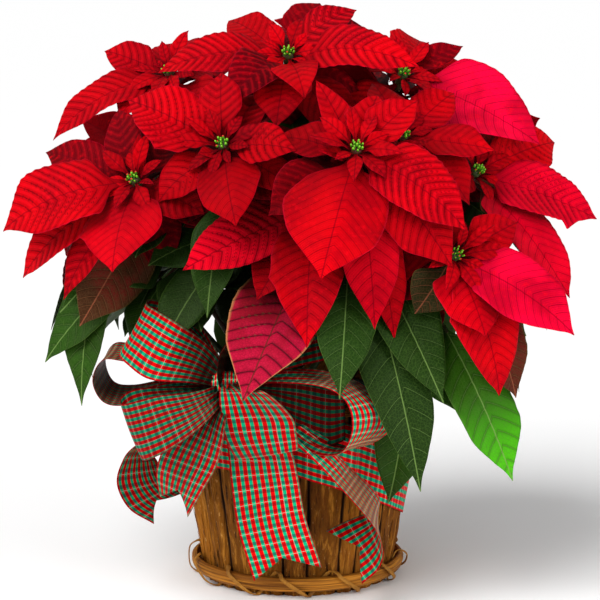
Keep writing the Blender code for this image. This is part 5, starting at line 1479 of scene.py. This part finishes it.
def bark_slats(finishes):
    """The ring of slats, and torn fibres on their outer faces."""
    rng = np.random.default_rng(5)
    bundle = Bundle()
    for slat in slat_angles():
        slat_ring(rng, bundle, *slat)
    obj = weld(bundle.piece("bark_slats", finishes["bark"]), 1e-7)
    face = shown("bark_fibres", obj.data.copy())
    scrape = bmesh.new()
    scrape.from_mesh(face.data)
    bmesh.ops.delete(scrape, geom=[f for f in scrape.faces if faces_in(f)], context="FACES")
    scrape.to_mesh(face.data)
    scrape.free()
    sliver = sliver_object()
    grown(face, splinter_growth(finishes["bark"], sliver))
    bpy.data.objects.remove(sliver)
    for piece in (obj, face):
        finish_piece(piece, "bark", "basket_slats")


def sliver_object():
    """A thin tapering fibre, upright, its flat side turned inward."""
    rows = []
    for z, w, h in ((-1, 0.1, 0.1), (-0.55, 0.8, 0.8), (0.1, 1.0, 1.0), (0.6, 0.7, 0.8), (1, 0.1, 0.1)):
        rows.append([(-0.25 * MM, w * 0.75 * MM, z * 13 * MM), (h * 0.45 * MM, w * 0.35 * MM, z * 13 * MM),
                     (h * 0.45 * MM, -w * 0.35 * MM, z * 13 * MM), (-0.25 * MM, -w * 0.75 * MM, z * 13 * MM)])
    rows = [[tuple(np.mean(rows[0], axis=0))] * 4] + rows + [[tuple(np.mean(rows[-1], axis=0))] * 4]
    quads = ring_faces(len(rows), 4)[:, [0, 3, 2, 1]]
    return weld(skin(np.array(rows).reshape(-1, 3), quads, {}, None, "sliver", False))


def hoop_back(z_mid):
    return SLAT_FOOT_R + SLAT_FLARE * z_mid + 1.4 * MM + HOOP_OFF


def hoop(name, z_mid, finishes, node):
    """A half-round peeled stick bent round the basket, a little uneven along its run."""
    turns, around = 220, 16
    back = hoop_back(z_mid)
    a = np.linspace(0, TURN, turns, endpoint=False)[:, None]
    b = np.linspace(0, TURN, around, endpoint=False)[None, :]
    bow = np.clip(np.cos(b), 0, 1) ** 0.8
    uneven = 0.25 * MM * np.sin(a * 9) + 0.18 * MM * np.sin(a * 23 + 1) + 0.10 * MM * np.sin(a * 61 + b * 3)
    grooves = -0.22 * MM * np.sin(b * 9 + np.sin(a * 5)) ** 8
    up = HOOP_HIGH / 2 * np.sin(b) * (0.965 + 0.02 * np.sin(a * 13))
    r = back + SLAT_FLARE * up + (HOOP_DEEP * 0.92 + uneven + grooves) * bow
    verts = stacked(r * np.cos(a), r * np.sin(a), z_mid + up).reshape(-1, 3)
    lay = stacked(a * back, up, bow).reshape(-1, 3)
    quads = ring_faces(turns, around, True)[:, [0, 3, 2, 1]]
    obj = weld(skin(verts, quads, {"run": lay}, finishes["hoop"], name), 1e-7)
    finish_piece(obj, "hoop_wood", node)


def lashing(name, z_mid, growth, node):
    """Split cane wound diagonally round a hoop."""
    back = hoop_back(z_mid)
    centre, facing = [], []
    for turn in range(CANE_TURNS):
        for share, (out, up), look in CANE_TURN:
            a = TURN * (turn + share) / CANE_TURNS - CANE_LEAD
            way = Vector((math.cos(a), math.sin(a), 0))
            centre.append(way * (back + (out + SLAT_FLARE * up) * MM) + Vector((0, 0, z_mid + up * MM)))
            facing.append((way * look[0] + Vector((0, 0, look[1]))).normalized())
    steps = 5
    line, ways = (flowing(run[-2:] + run + run[:3], steps)[2 * steps:][:len(run) * steps]
                  for run in (centre, facing))
    obj = lines_object(name, [line], {"facing": np.array([list(w.normalized()) for w in ways])}, closed=True)
    finish_piece(grown(obj, growth), "cane", node)


def lathe(levels, sides):
    """Points and faces of a round body from (radius, z) levels, its ends closed to the axis."""
    levels = [(0.0, levels[0][1]), *levels, (0.0, levels[-1][1])]
    a = np.linspace(0, TURN, sides, endpoint=False)
    rows = np.array([(r * math.cos(x), r * math.sin(x), z) for r, z in levels for x in a])
    return rows, ring_faces(len(levels), sides)


def turned(name, levels, sides, mat):
    bundle = Bundle()
    bundle.add(*lathe(levels, sides))
    return weld(bundle.piece(name, mat))


def pot_inner_r(z):
    share = (z - BOARD_THICK - GAP) / POT_HIGH
    return POT_FOOT_R + (POT_RIM_R - POT_FOOT_R) * share - POT_WALL


def growers_pot(finishes):
    """A plain nursery pot with a rolled rim."""
    low, high = BOARD_THICK + GAP, BOARD_THICK + GAP + POT_HIGH
    lip = high - 9 * MM
    rim = POT_RIM_R + 1.6 * MM
    levels = [
        (POT_FOOT_R - 2 * MM, low), (POT_FOOT_R, low + 1.5 * MM),
        (pot_inner_r(lip) + POT_WALL, lip - MM), (rim - 0.8 * MM, lip), (rim, lip + MM),
        (rim, high - MM), (rim - 0.8 * MM, high), (POT_RIM_R - POT_WALL + 0.8 * MM, high),
        (POT_RIM_R - POT_WALL, high - MM), (pot_inner_r(low + 2 * MM), low + 3 * MM),
        (pot_inner_r(low) - 2 * MM, low + 2 * MM)]
    finish_piece(turned("plastic_pot", levels, 96, finishes["pot"]), "pot_plastic", "growers_pot")


def potting_soil(finishes):
    """Soil in the pot, domed and lumpy, with loose crumbs."""
    low = BOARD_THICK + 2 * GAP + 2 * MM
    top = BOARD_THICK + GAP + POT_HIGH - SOIL_BELOW_RIM
    r_top = pot_inner_r(top) - GAP
    levels = [(pot_inner_r(low) - GAP, low), (r_top, top)]
    levels += [(r_top * s, top + SOIL_DOME * (1 - s ** 2) ** 0.8) for s in
               (0.97, 0.92, 0.86, 0.79, 0.71, 0.62, 0.53, 0.44, 0.35, 0.26, 0.17, 0.08)]
    obj = turned("potting_soil", levels, 96, finishes["soil"])
    rng = random.Random(3)
    spots = [(rng.uniform(-0.09, 0.09), rng.uniform(-0.09, 0.09), rng.uniform(-1, 1)) for _ in range(240)]
    for v in obj.data.vertices:
        if v.co.z > top + 0.1 * MM:
            apart = [((v.co.x - x) ** 2 + (v.co.y - y) ** 2, h) for x, y, h in spots]
            v.co.z += sum(h * (1 - d / LUMP) ** 2 for d, h in apart if d < LUMP) * LUMP_HIGH
    crumbs = grown(shown("soil_crumbs", obj.data.copy()), crumb_growth(finishes["soil"]))
    for piece in (obj, crumbs):
        finish_piece(piece, "soil", "soil")


def trunks(finishes):
    """The woody stems, from the soil to where the leafy ones start."""
    growth = stalk_growth(finishes["trunk"])
    for name, (foot, top) in TRUNKS.items():
        low = BOARD_THICK + GAP + POT_HIGH - SOIL_BELOW_RIM - TRUNK_HOLE_DEEP + GAP
        a = Vector((foot[0] * MM, foot[1] * MM, low))
        b = Vector((foot[0] * MM, foot[1] * MM, low + TRUNK_UPRIGHT))
        c = Vector(top) * MM
        path = flowing([a, b, (b + c) / 2 + Vector((0, 0, 2 * MM)), c], 10)
        radii = [TRUNK_R * (0.96 + 0.05 * math.sin(i * 1.1) - 0.1 * i / len(path)) for i in range(len(path))]
        radii[-1] *= 0.8
        finish_piece(stalks_piece(f"woody_{name}", growth, [(path, radii)], 20), "trunk", f"trunk_{name}")


def bead_object():
    """One bud: a green cup with a gland on its rim."""
    levels = ((0.55, 0.0), (0.95, 0.18), (1.0, 0.45), (0.80, 0.66), (0.62, 0.76), (0.74, 0.84),
              (0.62, 0.93), (0.2, 1.0))
    verts, quads = lathe(levels, 9)
    return weld(skin(verts, quads, {"bead": stacked(verts[:, 2], 0.0, 0.0)}, None, "bud"))


def cyathia_beads(finishes):
    """The cluster of small buds in the heart of each bloom."""
    bud = bead_object()
    growth = bead_growth(finishes["bead"], bud)
    for name in BLOOMS:
        heart, face, side, other = bloom_frame(name)
        heart = heart + face * GAP
        rng = random.Random(f"beads {name}")
        spin = rng.uniform(0, 6.28)
        spots = [(0, 0)] + [(spin + TURN * k / 4, 2.5) for k in range(4)]
        spots += [(spin + 0.5 + TURN * k / 7, 4.4) for k in range(7)]
        feet, axes, sizes, reds = [], [], [], []
        for a, r in spots:
            r = r * rng.uniform(0.88, 1.1)
            out = toward(side, other, a)
            feet.append([heart + out * r * MM - face * 0.4 * MM])
            axes.append(list((face + out * r * 0.065).normalized()))
            wide = rng.uniform(0.85, 1.35) * MM
            sizes.append((wide, wide, (7.2 - 0.62 * r) * MM * rng.uniform(0.72, 1.0)))
            reds.append(1.0 if rng.random() < 0.22 else 0.0)
        obj = lines_object(f"beads_{name}", feet, {"axis": axes, "size": sizes, "red": reds})
        finish_piece(grown(obj, growth), "cyathia", f"cyathia_{name}")
    bpy.data.objects.remove(bud)


def repaint(node, mat):
    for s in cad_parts[node].material_slots:
        s.material = mat


# Camera, floor and light
def aimed(name, data, way, place=(0, 0, 0)):
    """A light or camera in the scene, looking along a direction."""
    obj = shown(name, data)
    obj.location = place
    obj.rotation_euler = Vector(way).to_track_quat("-Z", "Y").to_euler()
    return obj


def lamp(name, place, aim, size, power):
    data = bpy.data.lights.new(name, "AREA")
    data.shape = "DISK"
    data.size = size
    data.energy = power
    aimed(name, data, Vector(aim) - Vector(place), place)


def studio():
    mesh = bpy.data.meshes.new("floor")
    s = FLOOR_HALF
    mesh.from_pydata([(-s, -s, 0), (s, -s, 0), (s, s, 0), (-s, s, 0)], [], [(0, 1, 2, 3)])
    mesh.materials.append(Finish("pale floor", 0.8, Specular_IOR_Level=0.0).colour((0.97, 0.97, 0.97)))
    shown("floor", mesh)

    scene = bpy.context.scene
    scene.view_settings.view_transform = "Standard"
    scene.world = bpy.data.worlds.new("soft daylight")
    scene.world.use_nodes = True
    sky = scene.world.node_tree.nodes["Background"]
    sky.inputs[0].default_value = (1.0, 1.0, 1.0, 1.0)
    sky.inputs[1].default_value = 0.34

    sun = bpy.data.lights.new("window", "SUN")
    sun.energy = 3.0
    sun.angle = math.radians(48)
    aimed("window", sun, (0.54, 0.52, -0.78))
    lamp("front", (-0.6, -2.3, 0.9), (0, 0, 0.26), 0.9, 9.0)
    lamp("side", (1.5, -1.4, 0.8), (0, 0, 0.20), 0.9, 16.0)

    data = bpy.data.cameras.new("camera")
    data.sensor_width = 36
    data.lens = 36 * EYE_FAR / (SHEET_SIDE * SQUARE)
    scene.camera = aimed("camera", data, -TOWARD, EYE + RIGHT * (SHEET_MID - SHEET_AXIS) * SQUARE)


def main():
    studio()
    finishes = {
        "bract": bract_finish(), "turning": turning_finish(), "leaf": leaf_finish(), "stem": stem_finish(),
        "bark": bark_finish(), "hoop": hoop_finish(), "cane": cane_finish(), "soil": soil_finish(),
        "bead": bead_finish(), "ribbon": ribbon_finish(),
        "trunk": grained_finish("woody stem", 0.75, (1.0, 1.0, 4.0), 90.0, 4.0,
                                (0.10, 0.075, 0.035), (0.30, 0.25, 0.13), 0.0008, 0.8),
        "pot": grained_finish("pot plastic", 0.42, (1.0, 1.0, 1.0), 700.0, 2.0,
                              (0.008, 0.030, 0.014), (0.014, 0.048, 0.024), 0.0002, 0.4),
        "board": grained_finish("base board", 0.8, (0.08, 1.0, 1.0), 160.0, 5.0,
                                (0.26, 0.15, 0.07), (0.52, 0.36, 0.20), 0.0006, 0.5),
    }
    dress_plant(finishes)
    cyathia_beads(finishes)
    trunks(finishes)
    bark_slats(finishes)
    hoop("foot_stick", FOOT_HOOP_Z, finishes, "foot_hoop")
    hoop("rim_stick", RIM_HOOP_Z, finishes, "rim_hoop")
    cane = cane_growth(finishes["cane"])
    lashing("foot_cane", FOOT_HOOP_Z, cane, "foot_lashing")
    lashing("rim_cane", RIM_HOOP_Z, cane, "rim_lashing")
    repaint("basket_base_board", finishes["board"])
    growers_pot(finishes)
    potting_soil(finishes)
    wrap(finishes)
    knot(finishes)
    for name, rows in BOW.items():
        ribbon_strip(name, rows, finishes)


main()
